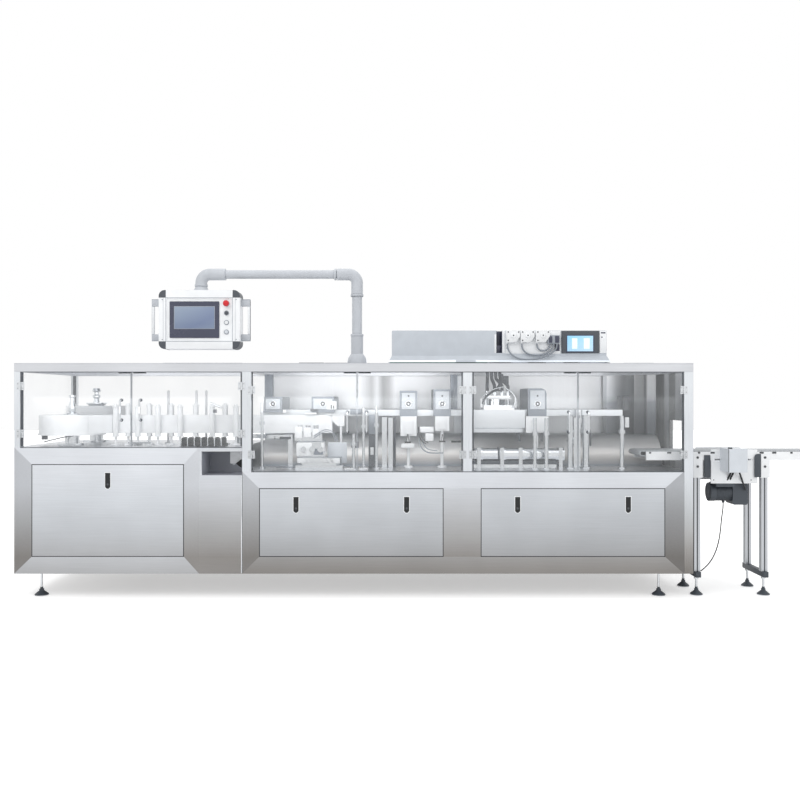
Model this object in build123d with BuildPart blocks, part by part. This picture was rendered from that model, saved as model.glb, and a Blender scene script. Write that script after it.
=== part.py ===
from build123d import *
import math
import os

os.makedirs("parts", exist_ok=True)

# Driving sizes of the two modules
infeed_length = 1424
main_length = 2822
depth = 1000
cabinet_floor = 157
infeed_deck = 948
main_deck = 797
bay_height = 471
rail_height = 51
roof_thickness = 4
post_width = 58
left_post_width = 38
post_depth = 50

# How far the conveyor runs past the machine, and its gear cover past the front
conveyor_reach = 1066
cover_reach = 60

# The conveyor's belt height and its place behind the front
belt_top = 920
conveyor_inset = 100
conveyor_width = 300

# Clearances
seat_gap = 0.3
running_gap = 0.4
panel_gap = 3
door_gap = 3

# The frame: X along the machine, Y into it, Z up from the floor
left = -(infeed_length + main_length + conveyor_reach) / 2
seam = left + infeed_length
right = seam + main_length
front = (cover_reach - depth) / 2
back = front + depth
mid_plane = Plane.XZ.offset(-(front + back) / 2)
rail_low = infeed_deck + bay_height
guard_top = rail_low + rail_height
roof_top = guard_top + roof_thickness
bay_width = (main_length - 3 * post_width) / 2
infeed_bay = (left + left_post_width, seam)
sealing_bay = (seam + post_width, seam + post_width + bay_width)
filling_bay = (sealing_bay[1] + post_width, right - post_width)
conveyor_y = (front + conveyor_inset, front + conveyor_inset + conveyor_width)
rail_drop = 60


def block(x, y, z, mode=Mode.ADD):
    """Adds a box between the low and high values given for each axis."""
    with Locations(((x[0] + x[1]) / 2, (y[0] + y[1]) / 2, (z[0] + z[1]) / 2)):
        Box(x[1] - x[0], y[1] - y[0], z[1] - z[0], mode=mode)


def upright(x, y, z, diameter):
    """Adds a vertical round bar between two heights."""
    with Locations((x, y, (z[0] + z[1]) / 2)):
        Cylinder(diameter / 2, z[1] - z[0])


def front_plane(y):
    """The plane of a front face at a depth, drawn in X and Z."""
    return Plane.XZ.offset(-y)


def write(piece, name):
    """Labels a finished piece and writes its file."""
    piece.label = name
    export_step(piece, f"parts/{name}.step")


# Cabinets: bevelled surrounds, lift-off service panels and flush latches
surround_side = 100
surround_top = 108
surround_bottom = 102
surround_depth = 22
panel_thickness = 18
plain_strip = 268
middle_strip = 234
latch_size = (33, 100)
latch_drop = 54
latch_depth = 8
latch_proud = 2
pocket_size = (252, 250, 150)
pocket_drop = 26

infeed_panel = (left + surround_side, seam - plain_strip - surround_side)
main_open = (seam + surround_side + 4, right - post_width - surround_side - 12)
strip_middle = (main_open[0] + main_open[1]) / 2
main_panels = (
    (main_open[0], strip_middle - middle_strip / 2),
    (strip_middle + middle_strip / 2, main_open[1]),
)
infeed_rows = (cabinet_floor + surround_bottom, infeed_deck - surround_top)
main_rows = (cabinet_floor + surround_bottom, main_deck - surround_top)
panel_face = front + surround_depth
infeed_latches = ((infeed_panel[0] + infeed_panel[1]) / 2,)
latch_reach = 0.2
latch_span = main_panels[0][1] - main_panels[0][0]
left_latches = (
    main_panels[0][0] + latch_reach * latch_span,
    main_panels[0][1] - latch_reach * latch_span,
)
right_latches = (
    main_panels[1][0] + latch_reach * latch_span,
    main_panels[1][1] - latch_reach * latch_span,
)


def surround_hollow(x, z, openings):
    """The hollow of one cabinet face: bevelled sides, then a seat for each panel."""
    outer = (x[1] - x[0], z[1] - z[0])
    low = (openings[0][0], cabinet_floor + surround_bottom)
    high = (openings[-1][1], z[1] - surround_top)
    with BuildPart() as hollow:
        with BuildSketch(front_plane(front)):
            with Locations(((x[0] + x[1]) / 2, (z[0] + z[1]) / 2)):
                Rectangle(outer[0], outer[1])
        with BuildSketch(front_plane(panel_face)):
            with Locations(((low[0] + high[0]) / 2, (low[1] + high[1]) / 2)):
                Rectangle(high[0] - low[0], high[1] - low[1])
        loft()
        for opening in openings:
            block(opening, (panel_face, panel_face + panel_thickness), (low[1], high[1]))
    return hollow.part


def latch_outline(x, top, margin):
    """A flush latch: square at its top and pointed at its lower end."""
    half = latch_size[0] / 2 + margin
    low = top - latch_size[1] - margin
    point = latch_size[0] / 3
    Polygon(
        (x - half, top + margin),
        (x + half, top + margin),
        (x + half, low + point),
        (x + half - point, low),
        (x - half + point, low),
        (x - half, low + point),
        align=None,
    )


def service_panel(x, z, latches):
    """One lift-off panel with its latch seats."""
    with BuildPart() as panel:
        block(
            (x[0] + panel_gap, x[1] - panel_gap),
            (panel_face, panel_face + panel_thickness),
            (z[0] + panel_gap, z[1] - panel_gap),
        )
        chamfer(panel.faces().sort_by(Axis.Y)[0].edges(), 1.5)
        with BuildSketch(front_plane(panel_face)):
            for latch in latches:
                latch_outline(latch, z[1] - latch_drop, seat_gap)
        extrude(amount=-latch_depth, mode=Mode.SUBTRACT)
    return panel.part


def latch_set(z, latches):
    """The latches of one panel, standing a little proud of it."""
    with BuildPart() as latch_row:
        with BuildSketch(front_plane(panel_face - latch_proud)):
            for latch in latches:
                latch_outline(latch, z[1] - latch_drop, 0)
        extrude(amount=-(latch_depth + latch_proud))
        chamfer(latch_row.faces().group_by(Axis.Y)[0].edges(), 1)
    return latch_row.part


infeed_hollow = surround_hollow(
    (left, seam - plain_strip), (cabinet_floor, infeed_deck), (infeed_panel,)
)
main_hollow = surround_hollow(
    (seam, right - post_width), (cabinet_floor, main_deck), main_panels
)

with BuildPart() as infeed_cabinet:
    block((left, seam), (front, back), (cabinet_floor, infeed_deck))
    add(infeed_hollow, mode=Mode.SUBTRACT)
    mirror(infeed_hollow, about=mid_plane, mode=Mode.SUBTRACT)
    block(
        (seam - pocket_size[0], seam),
        (front, front + pocket_size[1]),
        (infeed_deck - pocket_drop - pocket_size[2], infeed_deck - pocket_drop),
        mode=Mode.SUBTRACT,
    )
write(infeed_cabinet.part, "infeed_cabinet")

with BuildPart() as main_cabinet:
    block((seam, right), (front, back), (cabinet_floor, main_deck))
    add(main_hollow, mode=Mode.SUBTRACT)
    mirror(main_hollow, about=mid_plane, mode=Mode.SUBTRACT)
    for corner in ((front, front + post_depth), (back - post_depth, back)):
        block((right - post_width, right), corner, (cabinet_floor, main_deck), mode=Mode.SUBTRACT)
write(main_cabinet.part, "main_cabinet")

panel_parts = [
    service_panel(infeed_panel, infeed_rows, infeed_latches),
    service_panel(main_panels[0], main_rows, left_latches),
    service_panel(main_panels[1], main_rows, right_latches),
]
latch_parts = [
    latch_set(infeed_rows, infeed_latches),
    latch_set(main_rows, left_latches),
    latch_set(main_rows, right_latches),
]

with BuildPart() as service_panels:
    for panel_part in panel_parts:
        add(panel_part)
        mirror(panel_part, about=mid_plane)
write(service_panels.part, "service_panels")

with BuildPart() as panel_latches:
    for latch_part in latch_parts:
        add(latch_part)
        mirror(latch_part, about=mid_plane)
write(panel_latches.part, "panel_latches")

# Guard frame: posts, top rails and roof
end_post_rear = (back - post_depth, back)
end_post_front = (front, front + post_depth)
post_columns = (
    ((left, left + left_post_width), infeed_deck),
    ((seam, seam + post_width), main_deck),
    ((sealing_bay[1], sealing_bay[1] + post_width), main_deck),
    ((right - post_width, right), cabinet_floor),
)

with BuildPart() as guard_posts:
    for column, foot in post_columns:
        for row in (end_post_front, end_post_rear):
            block(column, row, (foot, rail_low))
    chamfer(guard_posts.edges().filter_by(Axis.Z), 1.5)
write(guard_posts.part, "guard_posts")

with BuildPart() as top_rails:
    for row in (end_post_front, end_post_rear):
        block((left, right), row, (rail_low, guard_top))
    for column, foot in post_columns:
        block(column, (front + post_depth, back - post_depth), (rail_low, guard_top))
    chamfer(top_rails.edges().filter_by(Axis.X), 1.5)
write(top_rails.part, "top_rails")

with BuildPart() as roof_plate:
    block((left, right), (front, back), (guard_top, roof_top))
write(roof_plate.part, "roof_plate")

# Windows, rear wall and outfeed wall
window_thickness = 8
window_inset = 4
wall_thickness = 20
outlet_margin = 12
outlet_rise = 190
outlet_y = (conveyor_y[0] - seat_gap, conveyor_y[1] + seat_gap)
outlet_z = (belt_top - rail_drop - outlet_margin, belt_top + outlet_rise)

with BuildPart() as side_windows:
    block(
        (left + window_inset, left + window_inset + window_thickness),
        (front + post_depth, back - post_depth),
        (infeed_deck, rail_low),
    )
    block(
        infeed_bay,
        (back - window_inset - window_thickness, back - window_inset),
        (infeed_deck, rail_low),
    )
write(side_windows.part, "side_windows")

with BuildPart() as bay_walls:
    for bay in (sealing_bay, filling_bay):
        block(bay, (back - window_inset - wall_thickness, back - window_inset), (main_deck, rail_low))
    block(
        (right - window_inset - wall_thickness, right - window_inset),
        (front + post_depth, back - post_depth),
        (main_deck, rail_low),
    )
    block((right - post_width, right), outlet_y, outlet_z, mode=Mode.SUBTRACT)
write(bay_walls.part, "bay_walls")

# Guard doors: clear panes on lift-off hinges, with D handles
door_thickness = 8
door_inset = 4
hinge_height = 50
leaf_width = 14
leaf_thickness = 5
barrel_diameter = 14
handle_length = 125
handle_diameter = 12
handle_standoff = 35
handle_bend = 14
handle_setback = 60
infeed_handle = 232
main_handle = 308
infeed_hinges = (382, 85)
main_hinges = (508, 105)
catch_size = (76, 26, 9)
catch_setback = 8
pane_y = (front + door_inset, front + door_inset + door_thickness)
barrel_radius = barrel_diameter / 2
hinge_y = front - barrel_radius - seat_gap
leaf_front = front - leaf_thickness
leaf_start = barrel_radius + 1


def hinge_leaf(axis_x, side, height, leaf_back, upper):
    """Adds half a hinge: a leaf on one side of the axis and its half of the barrel."""
    low = height - hinge_height / 2
    half = hinge_height / 2 - running_gap / 2
    barrel = (height + running_gap / 2, low + hinge_height) if upper else (low, low + half)
    reach = sorted((axis_x + side * leaf_start, axis_x + side * (leaf_start + leaf_width)))
    neck = sorted((axis_x, axis_x + side * leaf_start))
    block(reach, (leaf_front, leaf_back), (low, low + hinge_height))
    block(neck, (leaf_front, front - seat_gap), barrel)
    upright(axis_x, hinge_y, barrel, barrel_diameter)


def guard_door(name, bay, side, deck, handle_height, hinges):
    """One door: its pane, then its handle and its moving hinge leaves."""
    middle = (bay[0] + bay[1]) / 2
    edge = bay[0] if side > 0 else bay[1]
    axis_x = edge + side * door_gap / 2
    pane_x = sorted((edge + side * door_gap, middle - side * door_gap / 2))
    handle_x = middle - side * handle_setback
    grip = handle_length / 2
    with BuildPart() as pane:
        block(pane_x, pane_y, (deck + door_gap, rail_low - door_gap))
        chamfer(pane.edges().filter_by(Axis.X), 1)
    write(pane.part, name)
    with BuildPart() as fittings:
        for hinge in hinges:
            hinge_leaf(axis_x, side, deck + hinge, pane_y[0], True)
        with BuildLine() as grip_path:
            FilletPolyline(
                (handle_x, pane_y[0], deck + handle_height + grip),
                (handle_x, pane_y[0] - handle_standoff, deck + handle_height + grip),
                (handle_x, pane_y[0] - handle_standoff, deck + handle_height - grip),
                (handle_x, pane_y[0], deck + handle_height - grip),
                radius=handle_bend,
            )
        with BuildSketch(front_plane(pane_y[0])):
            with Locations((handle_x, deck + handle_height + grip)):
                Circle(handle_diameter / 2)
        sweep(path=grip_path.wire())
    write(fittings.part, name + "_fittings")


door_sets = (
    ("infeed_door", infeed_bay, infeed_deck, infeed_handle, infeed_hinges),
    ("sealing_door", sealing_bay, main_deck, main_handle, main_hinges),
    ("filling_door", filling_bay, main_deck, main_handle, main_hinges),
)
for set_name, bay, deck, handle_height, hinges in door_sets:
    guard_door(set_name + "_left", bay, 1, deck, handle_height, hinges)
    guard_door(set_name + "_right", bay, -1, deck, handle_height, hinges)

with BuildPart() as hinge_leaves:
    for set_name, bay, deck, handle_height, hinges in door_sets:
        for hinge in hinges:
            hinge_leaf(bay[0] + door_gap / 2, -1, deck + hinge, front, False)
            hinge_leaf(bay[1] - door_gap / 2, 1, deck + hinge, front, False)
write(hinge_leaves.part, "hinge_leaves")

catch_y = (pane_y[1] + door_gap, pane_y[1] + door_gap + catch_size[1])
with BuildPart() as door_catches:
    for set_name, bay, deck, handle_height, hinges in door_sets:
        middle = (bay[0] + bay[1]) / 2
        for side in (-1, 1):
            reach = sorted(
                (middle + side * catch_setback, middle + side * (catch_setback + catch_size[0]))
            )
            block(reach, catch_y, (rail_low - catch_size[2], rail_low))
    chamfer(door_catches.edges().filter_by(Axis.Z), 3)
write(door_catches.part, "door_catches")

# Film rolls on their stands, and the film web round its first guide roller
film_setback = 300
roll_radius = 205
roll_core = 45
film_width = 120
film_thickness = 1.2
film_rise = 77
table_thickness = 10
stand_diameter = 90
stand_flange = 180
front_roll_at = (left + 252, front + film_setback)
rear_roll_at = (left + 262, back - 262)
rear_roll_rise = 134
film_low = infeed_deck + film_rise
film_high = film_low + film_width


def film_roll(at, low):
    """A roll of film on its turning table, with the dished end of its core."""
    with BuildPart() as roll:
        with BuildSketch(Plane.XZ):
            with BuildLine():
                Polyline(
                    (0, low - table_thickness),
                    (roll_radius + 6, low - table_thickness),
                    (roll_radius + 6, low),
                    (roll_radius, low),
                    (roll_radius, low + film_width),
                    (roll_core + 3, low + film_width),
                    (roll_core, low + film_width - 8),
                    (0, low + film_width - 8),
                    close=True,
                )
            make_face()
        revolve(axis=Axis.Z)
    return roll.part.moved(Location((at[0], at[1], 0)))


def bottle_clamp(at, low):
    """The front roll's clamp: a low cone under a bottle-shaped grip."""
    with BuildPart() as clamp:
        with BuildSketch(Plane.XZ):
            with BuildLine():
                Polyline(
                    (0, low - 8), (roll_core - 1, low - 8), (roll_core - 1, low), (58, low),
                    (58, low + 6), (26, low + 18), (21, low + 22),
                )
                ThreePointArc((21, low + 22), (25, low + 46), (20, low + 70))
                ThreePointArc((20, low + 70), (15, low + 92), (14, low + 112))
                Polyline((14, low + 112), (20, low + 118), (20, low + 130), (0, low + 130), (0, low - 8))
            make_face()
        revolve(axis=Axis.Z)
    return clamp.part.moved(Location((at[0], at[1], 0)))


def dish_clamp(at, low):
    """The rear roll's clamp: a dish on a stem with a stacked star grip."""
    with BuildPart() as clamp:
        with BuildSketch(Plane.XZ):
            with BuildLine():
                Polyline(
                    (0, low - 8), (roll_core - 1, low - 8), (roll_core - 1, low), (48, low),
                    (70, low + 16), (70, low + 22), (24, low + 22), (17, low + 52),
                    (27, low + 60), (27, low + 72), (16, low + 80), (16, low + 96),
                    (30, low + 102), (24, low + 124), (0, low + 124),
                    close=True,
                )
            make_face()
        revolve(axis=Axis.Z)
    return clamp.part.moved(Location((at[0], at[1], 0)))


write(film_roll(front_roll_at, film_low), "film_roll_front")
write(bottle_clamp(front_roll_at, film_high), "roll_clamp_front")
write(film_roll(rear_roll_at, infeed_deck + rear_roll_rise), "film_roll_rear")
write(dish_clamp(rear_roll_at, infeed_deck + rear_roll_rise + film_width), "roll_clamp_rear")

with BuildPart() as roll_stands:
    for at, low in ((front_roll_at, film_low), (rear_roll_at, infeed_deck + rear_roll_rise)):
        upright(at[0], at[1], (infeed_deck, infeed_deck + 12), stand_flange)
        upright(at[0], at[1], (infeed_deck, low - table_thickness - running_gap), stand_diameter)
write(roll_stands.part, "roll_stands")

# Guide rollers stand each side of the straight web, and the first one turns it
web_y = front + film_setback
guide_diameter = 36
guide_offset = guide_diameter / 2 + film_thickness / 2 + seat_gap
guide_sole = (64, 10)
guide_spindle = 16
guide_start = film_rise - 17
guide_flange = (48, 5)
guide_cap = (22, 12)
front_guide_rise = 254
rear_guide_rise = 262
tall_guide_rise = 360
tall_guide_setback = 150
first_guide = left + 545
web_end = sealing_bay[0] + 484
turn_radius = guide_offset
roll_clear = roll_radius + 5 + film_thickness / 2
step = (first_guide - front_roll_at[0], web_y - guide_offset - front_roll_at[1])
centre_run = math.hypot(step[0], step[1])
lean = math.asin((roll_clear + turn_radius) / centre_run) + math.atan2(step[1], step[0])
leave = (
    front_roll_at[0] + roll_clear * math.sin(lean),
    front_roll_at[1] - roll_clear * math.cos(lean),
)
meet = (
    first_guide - turn_radius * math.sin(lean),
    web_y - guide_offset + turn_radius * math.cos(lean),
)
half_way = (
    first_guide - turn_radius * math.sin(lean / 2),
    web_y - guide_offset + turn_radius * math.cos(lean / 2),
)
web_height = film_low + film_width / 2

with BuildPart() as film_web:
    with BuildLine() as web_path:
        Line((*leave, web_height), (*meet, web_height))
        ThreePointArc((*meet, web_height), (*half_way, web_height), (first_guide, web_y, web_height))
        Line((first_guide, web_y, web_height), (web_end, web_y, web_height))
    heading = (math.cos(lean), math.sin(lean), 0)
    with BuildSketch(Plane(origin=(*leave, web_height), x_dir=(0, 0, 1), z_dir=heading)):
        Rectangle(film_width, film_thickness)
    sweep(path=web_path.wire())
write(film_web.part, "film_web")

front_guides = (first_guide, left + 690, left + 822, left + 968, left + 1178, left + 1334)
rear_guides = (left + 616, left + 756, left + 900, left + 1062, left + 1256)
tall_guides = (left + 846, left + 1036, left + 1102)


def guide_roller(rise):
    """A flanged roller on its spindle, with a sole below and a cap nut on top."""
    sole, roller, flange, cap = guide_sole[0] / 2, guide_diameter / 2, guide_flange[0] / 2, guide_cap[0] / 2
    with BuildPart() as guide:
        with BuildSketch(Plane.XZ):
            with BuildLine():
                Polyline(
                    (0, 0), (sole, 0), (sole, guide_sole[1]), (guide_spindle / 2, guide_sole[1]),
                    (guide_spindle / 2, guide_start - guide_flange[1]),
                    (flange, guide_start - guide_flange[1]), (flange, guide_start),
                    (roller, guide_start), (roller, rise - guide_flange[1]),
                    (flange, rise - guide_flange[1]), (flange, rise),
                    (cap, rise), (cap, rise + guide_cap[1]), (0, rise + guide_cap[1]),
                    close=True,
                )
            make_face()
        revolve(axis=Axis.Z)
    return guide.part


def tall_guide():
    """A tall plain rod on its sole, with a rounded end."""
    with BuildPart() as rod:
        upright(0, 0, (0, tall_guide_rise), guide_spindle)
        upright(0, 0, (0, guide_sole[1]), guide_sole[0] - 20)
        fillet(rod.faces().sort_by(Axis.Z)[-1].edges(), guide_spindle / 2 - 1)
    return rod.part


front_guide = guide_roller(front_guide_rise)
rear_guide = guide_roller(rear_guide_rise)
tall_rod = tall_guide()
with BuildPart() as guide_rollers:
    for x in front_guides:
        with Locations((x, web_y - guide_offset, infeed_deck)):
            add(front_guide)
    for x in rear_guides:
        with Locations((x, web_y + guide_offset, infeed_deck)):
            add(rear_guide)
    for x in tall_guides:
        with Locations((x, web_y + tall_guide_setback, infeed_deck)):
            add(tall_rod)
write(guide_rollers.part, "guide_rollers")

# The splice grippers on the infeed deck
gripper_x = (left + 1010, left + 1300)
gripper_y = (front + 110, front + 190)
gripper_bar = 18
finger_count = 7
finger_width = 29
finger_height = 40
finger_inset = 12
finger_pitch = (gripper_x[1] - gripper_x[0]) / finger_count

with BuildPart() as splice_grippers:
    block(gripper_x, gripper_y, (infeed_deck, infeed_deck + gripper_bar))
    for index in range(finger_count):
        centre = gripper_x[0] + (index + 0.5) * finger_pitch
        with BuildSketch(front_plane(gripper_y[0] + finger_inset)):
            with Locations((centre, infeed_deck + gripper_bar + finger_height / 2)):
                outline = Rectangle(finger_width, finger_height)
            fillet(outline.vertices().group_by(Axis.Y)[-1], finger_width / 2 - 1)
        extrude(amount=-(gripper_y[1] - gripper_y[0] - 2 * finger_inset))
write(splice_grippers.part, "splice_grippers")

# Machine bed of the sealing and filling bays: a station shelf and a rounded cover
shelf_lap = 7
shelf_low = film_high - shelf_lap
shelf_thickness = 40
shelf_setback = 360
shelf_front = front + shelf_setback
shroud_length = 290
shroud_x = (filling_bay[1] - shroud_length, filling_bay[1])
shroud_clearance = 4
shelf_x = (sealing_bay[0], shroud_x[0] - shroud_clearance)
inner_back = back - post_depth
beam_start = 28
beam_length = 344
beam_x = (filling_bay[0] + beam_start, filling_bay[0] + beam_start + beam_length)
beam_reach = 60
beam_drop = 79
lip_drop = 33
lip_reach_out = 16
lip_short = 20
bed_setback = 470
bed_front = front + bed_setback
bed_rise = 205
bed_radius = 180

with BuildPart() as station_shelf:
    block(shelf_x, (shelf_front, inner_back), (shelf_low, shelf_low + shelf_thickness))
    block(
        beam_x, (shelf_front - beam_reach, shelf_front), (shelf_low - beam_drop, shelf_low + shelf_thickness)
    )
    block(
        (beam_x[0], beam_x[1] - lip_short),
        (shelf_front - beam_reach - lip_reach_out, shelf_front),
        (shelf_low - beam_drop - lip_drop, shelf_low - beam_drop),
    )
    chamfer(station_shelf.edges().filter_by(Axis.X).group_by(Axis.Y)[0], 4)
write(station_shelf.part, "station_shelf")

with BuildPart() as bed_cover:
    with BuildSketch(Plane.YZ.offset(sealing_bay[0])):
        with BuildLine():
            Line((bed_front, main_deck), (bed_front, main_deck + bed_rise - bed_radius))
            RadiusArc(
                (bed_front, main_deck + bed_rise - bed_radius),
                (bed_front + bed_radius, main_deck + bed_rise),
                bed_radius,
            )
            Polyline(
                (bed_front + bed_radius, main_deck + bed_rise),
                (inner_back, main_deck + bed_rise),
                (inner_back, main_deck),
                (bed_front, main_deck),
            )
        make_face()
    extrude(amount=filling_bay[1] - sealing_bay[0])
write(bed_cover.part, "bed_cover")

# Drive heads: boxes on the shelf, with a face plate that hangs over its front edge
head_depth = 340
plate_depth = 60
shelf_top = shelf_low + shelf_thickness
low_drop = 17
high_drop = 42
edge_round = 6
end_round_over = 38
head_places = (
    (sealing_bay[0] + 34, 119, 86, low_drop, edge_round),
    (sealing_bay[0] + 347, 150, 88, low_drop, edge_round),
    (sealing_bay[0] + 928, 116, 126, high_drop, edge_round),
    (sealing_bay[0] + 1150, 116, 136, high_drop, edge_round),
    (filling_bay[0] + 392, 122, 142, high_drop, end_round_over),
)
bolt_diameter = 34
bolt_proud = 10
bolt_drop = 68
screw_diameter = 9
screw_proud = 4
screw_inset = 14


def drive_head(x_low, width, rise, drop, corner):
    """One head: its body on the shelf and its face plate, whose far corner is rounded."""
    with BuildPart() as head:
        with BuildSketch(front_plane(shelf_front)):
            with Locations((x_low + width / 2, shelf_top + rise / 2)):
                body = Rectangle(width, rise)
            fillet(body.vertices().group_by(Axis.Y)[-1].sort_by(Axis.X)[-1], corner)
        extrude(amount=-head_depth)
        with BuildSketch(front_plane(shelf_front)):
            with Locations((x_low + width / 2, shelf_top + (rise - drop) / 2)):
                face = Rectangle(width, rise + drop)
            fillet(face.vertices().group_by(Axis.Y)[-1].sort_by(Axis.X)[-1], corner)
        extrude(amount=plate_depth)
        with BuildSketch(front_plane(shelf_front - plate_depth)):
            with Locations((x_low + width / 2, shelf_top + rise - bolt_drop)):
                Circle(bolt_diameter / 2)
                Circle(bolt_diameter / 4, mode=Mode.SUBTRACT)
        extrude(amount=bolt_proud)
        with BuildSketch(front_plane(shelf_front - plate_depth)):
            for side in (-1, 1):
                with Locations((x_low + width / 2 + side * (width / 2 - screw_inset), shelf_top)):
                    Circle(screw_diameter / 2)
            with Locations((x_low + width / 2, shelf_top + rise - screw_inset)):
                Circle(screw_diameter / 2)
        extrude(amount=screw_proud)
    return head.part


with BuildPart() as drive_heads:
    for place in head_places:
        add(drive_head(*place))
write(drive_heads.part, "drive_heads")

# Sealing jaws under the heads, on rods from the deck
jaw_places = (
    (sealing_bay[0] + 986, 106, 130),
    (sealing_bay[0] + 1208, 92, 96),
    (filling_bay[0] + 453, 150, 108),
)
jaw_depth = 60
jaw_face = 14
jaw_margin = (14, 26)
rib_pitch = 13
rib_depth = 4
rod_diameter = 22
rod_sole = (58, 12)
jaw_top = shelf_top - high_drop - seat_gap
jaw_front = shelf_front - plate_depth


def sealing_jaw(centre, width, rise):
    """One jaw under its head: the block, its ribbed sealing face and the rod below it."""
    low = jaw_top - rise
    face = (low + jaw_margin[0], jaw_top - jaw_margin[1])
    grooves = int((face[1] - face[0]) // rib_pitch)
    with BuildPart() as jaw:
        block((centre - width / 2, centre + width / 2), (jaw_front, jaw_front + jaw_depth), (low, jaw_top))
        block((centre - width / 4, centre + width / 4), (jaw_front - jaw_face, jaw_front), face)
        for index in range(grooves):
            height = face[0] + (index + 0.5) * rib_pitch
            block(
                (centre - width / 4, centre + width / 4),
                (jaw_front - jaw_face, jaw_front - jaw_face + rib_depth),
                (height, height + rib_pitch / 2),
                mode=Mode.SUBTRACT,
            )
        upright(centre, jaw_front + jaw_depth / 2, (main_deck, low), rod_diameter)
        upright(centre, jaw_front + jaw_depth / 2, (main_deck, main_deck + rod_sole[1]), rod_sole[0])
    return jaw.part


fold_length = 80
fold_height = 74
fold_thickness = 20
fold_cut = 34
fold_x = (web_end + seat_gap, web_end + seat_gap + fold_length)
fold_z = (film_high - fold_height, film_high)

with BuildPart() as folding_plate:
    with BuildSketch(front_plane(web_y - fold_thickness / 2)):
        Polygon(
            (fold_x[0], fold_z[1]),
            (fold_x[1], fold_z[1]),
            (fold_x[1], fold_z[0]),
            (fold_x[0] + fold_cut, fold_z[0]),
            (fold_x[0], fold_z[0] + fold_cut),
            align=None,
        )
    extrude(amount=-fold_thickness)
    upright((fold_x[0] + fold_cut + fold_x[1]) / 2, web_y, (main_deck, fold_z[0]), fold_thickness - 4)

with BuildPart() as sealing_jaws:
    add(folding_plate)
    for place in jaw_places:
        add(sealing_jaw(*place))
write(sealing_jaws.part, "sealing_jaws")

# Round posts and flat columns between the deck and the shelf
# Each row gives the place along and into the bay, the top over the shelf, and the diameter
post_places = (
    (sealing_bay[0] + 32, front + 230, 47, 20),
    (sealing_bay[0] + 630, front + 200, -154, 22),
    (sealing_bay[0] + 694, front + 200, 15, 18),
    (sealing_bay[0] + 778, front + 200, 28, 18),
    (filling_bay[0] + 412, front + 140, -51, 24),
    (filling_bay[0] + 488, front + 150, -51, 26),
    (filling_bay[0] + 650, front + 200, -33, 34),
    (filling_bay[0] + 760, front + 240, -33, 44),
    (filling_bay[0] + 985, front + 200, -37, 28),
)
column_places = (
    (sealing_bay[0] + 828, front + 250, -47, 32),
    (sealing_bay[0] + 868, front + 300, -51, 30),
    (filling_bay[0] + 708, front + 260, -51, 44),
)
post_sole = (26, 10)
post_clamp = (16, 22)
column_thickness = 26


def round_post(x, y, top, diameter):
    """A post with its sole on the bed and a clamp collar two thirds up."""
    collar = main_deck + (shelf_top + top - main_deck) * 2 / 3
    with BuildPart() as post:
        upright(x, y, (main_deck, shelf_top + top), diameter)
        upright(x, y, (main_deck, main_deck + post_sole[1]), diameter + post_sole[0])
        upright(x, y, (collar, collar + post_clamp[1]), diameter + post_clamp[0])
        chamfer(post.faces().sort_by(Axis.Z)[-1].edges(), 1.5)
    return post.part


with BuildPart() as support_posts:
    for place in post_places:
        add(round_post(*place))
    for x, y, top, width in column_places:
        block((x - width / 2, x + width / 2), (y, y + column_thickness), (main_deck, shelf_top + top))
write(support_posts.part, "support_posts")

# Bed drives: the pull unit on its rounded rail, the low cross cylinder and the bent chute
pull_start = 268
pull_length = 284
pull_x = (sealing_bay[0] + pull_start, sealing_bay[0] + pull_start + pull_length)
pull_y = (front + 150, front + 270)
pull_middle = ((pull_x[0] + pull_x[1]) / 2, (pull_y[0] + pull_y[1]) / 2)
rail_margin = 10
rail_thickness = 26
bar_width = 96
bar_height = 48
body_length = 178
body_front = pull_y[0] + 20
valve_y = body_front + 56
body_height = 108
cap_shift = 18
cap_setback = 8
cap_height = 56
valve_diameter = 34
valve_height = 44
valve_offsets = (12, 64, 116)
plunger_diameter = 38
plunger_length = 26
plunger_offsets = (40, 96, 150)
rail_top = main_deck + rail_thickness
bar_top = rail_top + bar_height
body_top = bar_top + body_height
cap_top = body_top + cap_height


def lying(x, y, z, diameter, length):
    """Adds a round bar that lies along the machine, centred at a point."""
    with Locations(Location((x, y, z), (0, 90, 0))):
        Cylinder(diameter / 2, length)


def facing(x, y, z, diameter, length):
    """Adds a round bar that points to the front, centred at a point."""
    with Locations(Location((x, y, z), (90, 0, 0))):
        Cylinder(diameter / 2, length)


with BuildPart() as pull_unit:
    block((pull_x[0] - rail_margin, pull_x[1] + rail_margin), pull_y, (main_deck, rail_top))
    with BuildSketch(Plane.XY.offset(rail_top)):
        with Locations(pull_middle):
            SlotOverall(pull_length, bar_width)
    extrude(amount=bar_height)
    block((pull_x[0], pull_x[0] + body_length), (body_front, pull_y[1]), (bar_top, body_top))
    block(
        (pull_x[0] - cap_shift, pull_x[0] + body_length - cap_shift),
        (body_front + cap_setback, pull_y[1]),
        (body_top, cap_top),
    )
    fillet(pull_unit.edges().filter_by(Axis.Y).group_by(Axis.Z)[-1], edge_round)
    for offset in valve_offsets:
        upright(pull_x[0] + offset, valve_y, (cap_top, cap_top + valve_height), valve_diameter)
    for offset in plunger_offsets:
        facing(pull_x[0] + offset, body_front, bar_top + body_height / 2, plunger_diameter, plunger_length)

cylinder_start = 40
cylinder_length = 560
cylinder_diameter = 88
cylinder_y = front + 250
cylinder_z = main_deck + 87
cap_length = 52
cap_diameter = 60
collar_diameter = 98
collar_width = 14
mount_offsets = (60, 210, 330, 590)
mount_width = 24
mount_depth = 100
mount_height = 137
cylinder_x = (filling_bay[0] + cylinder_start, filling_bay[0] + cylinder_start + cylinder_length)

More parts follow.
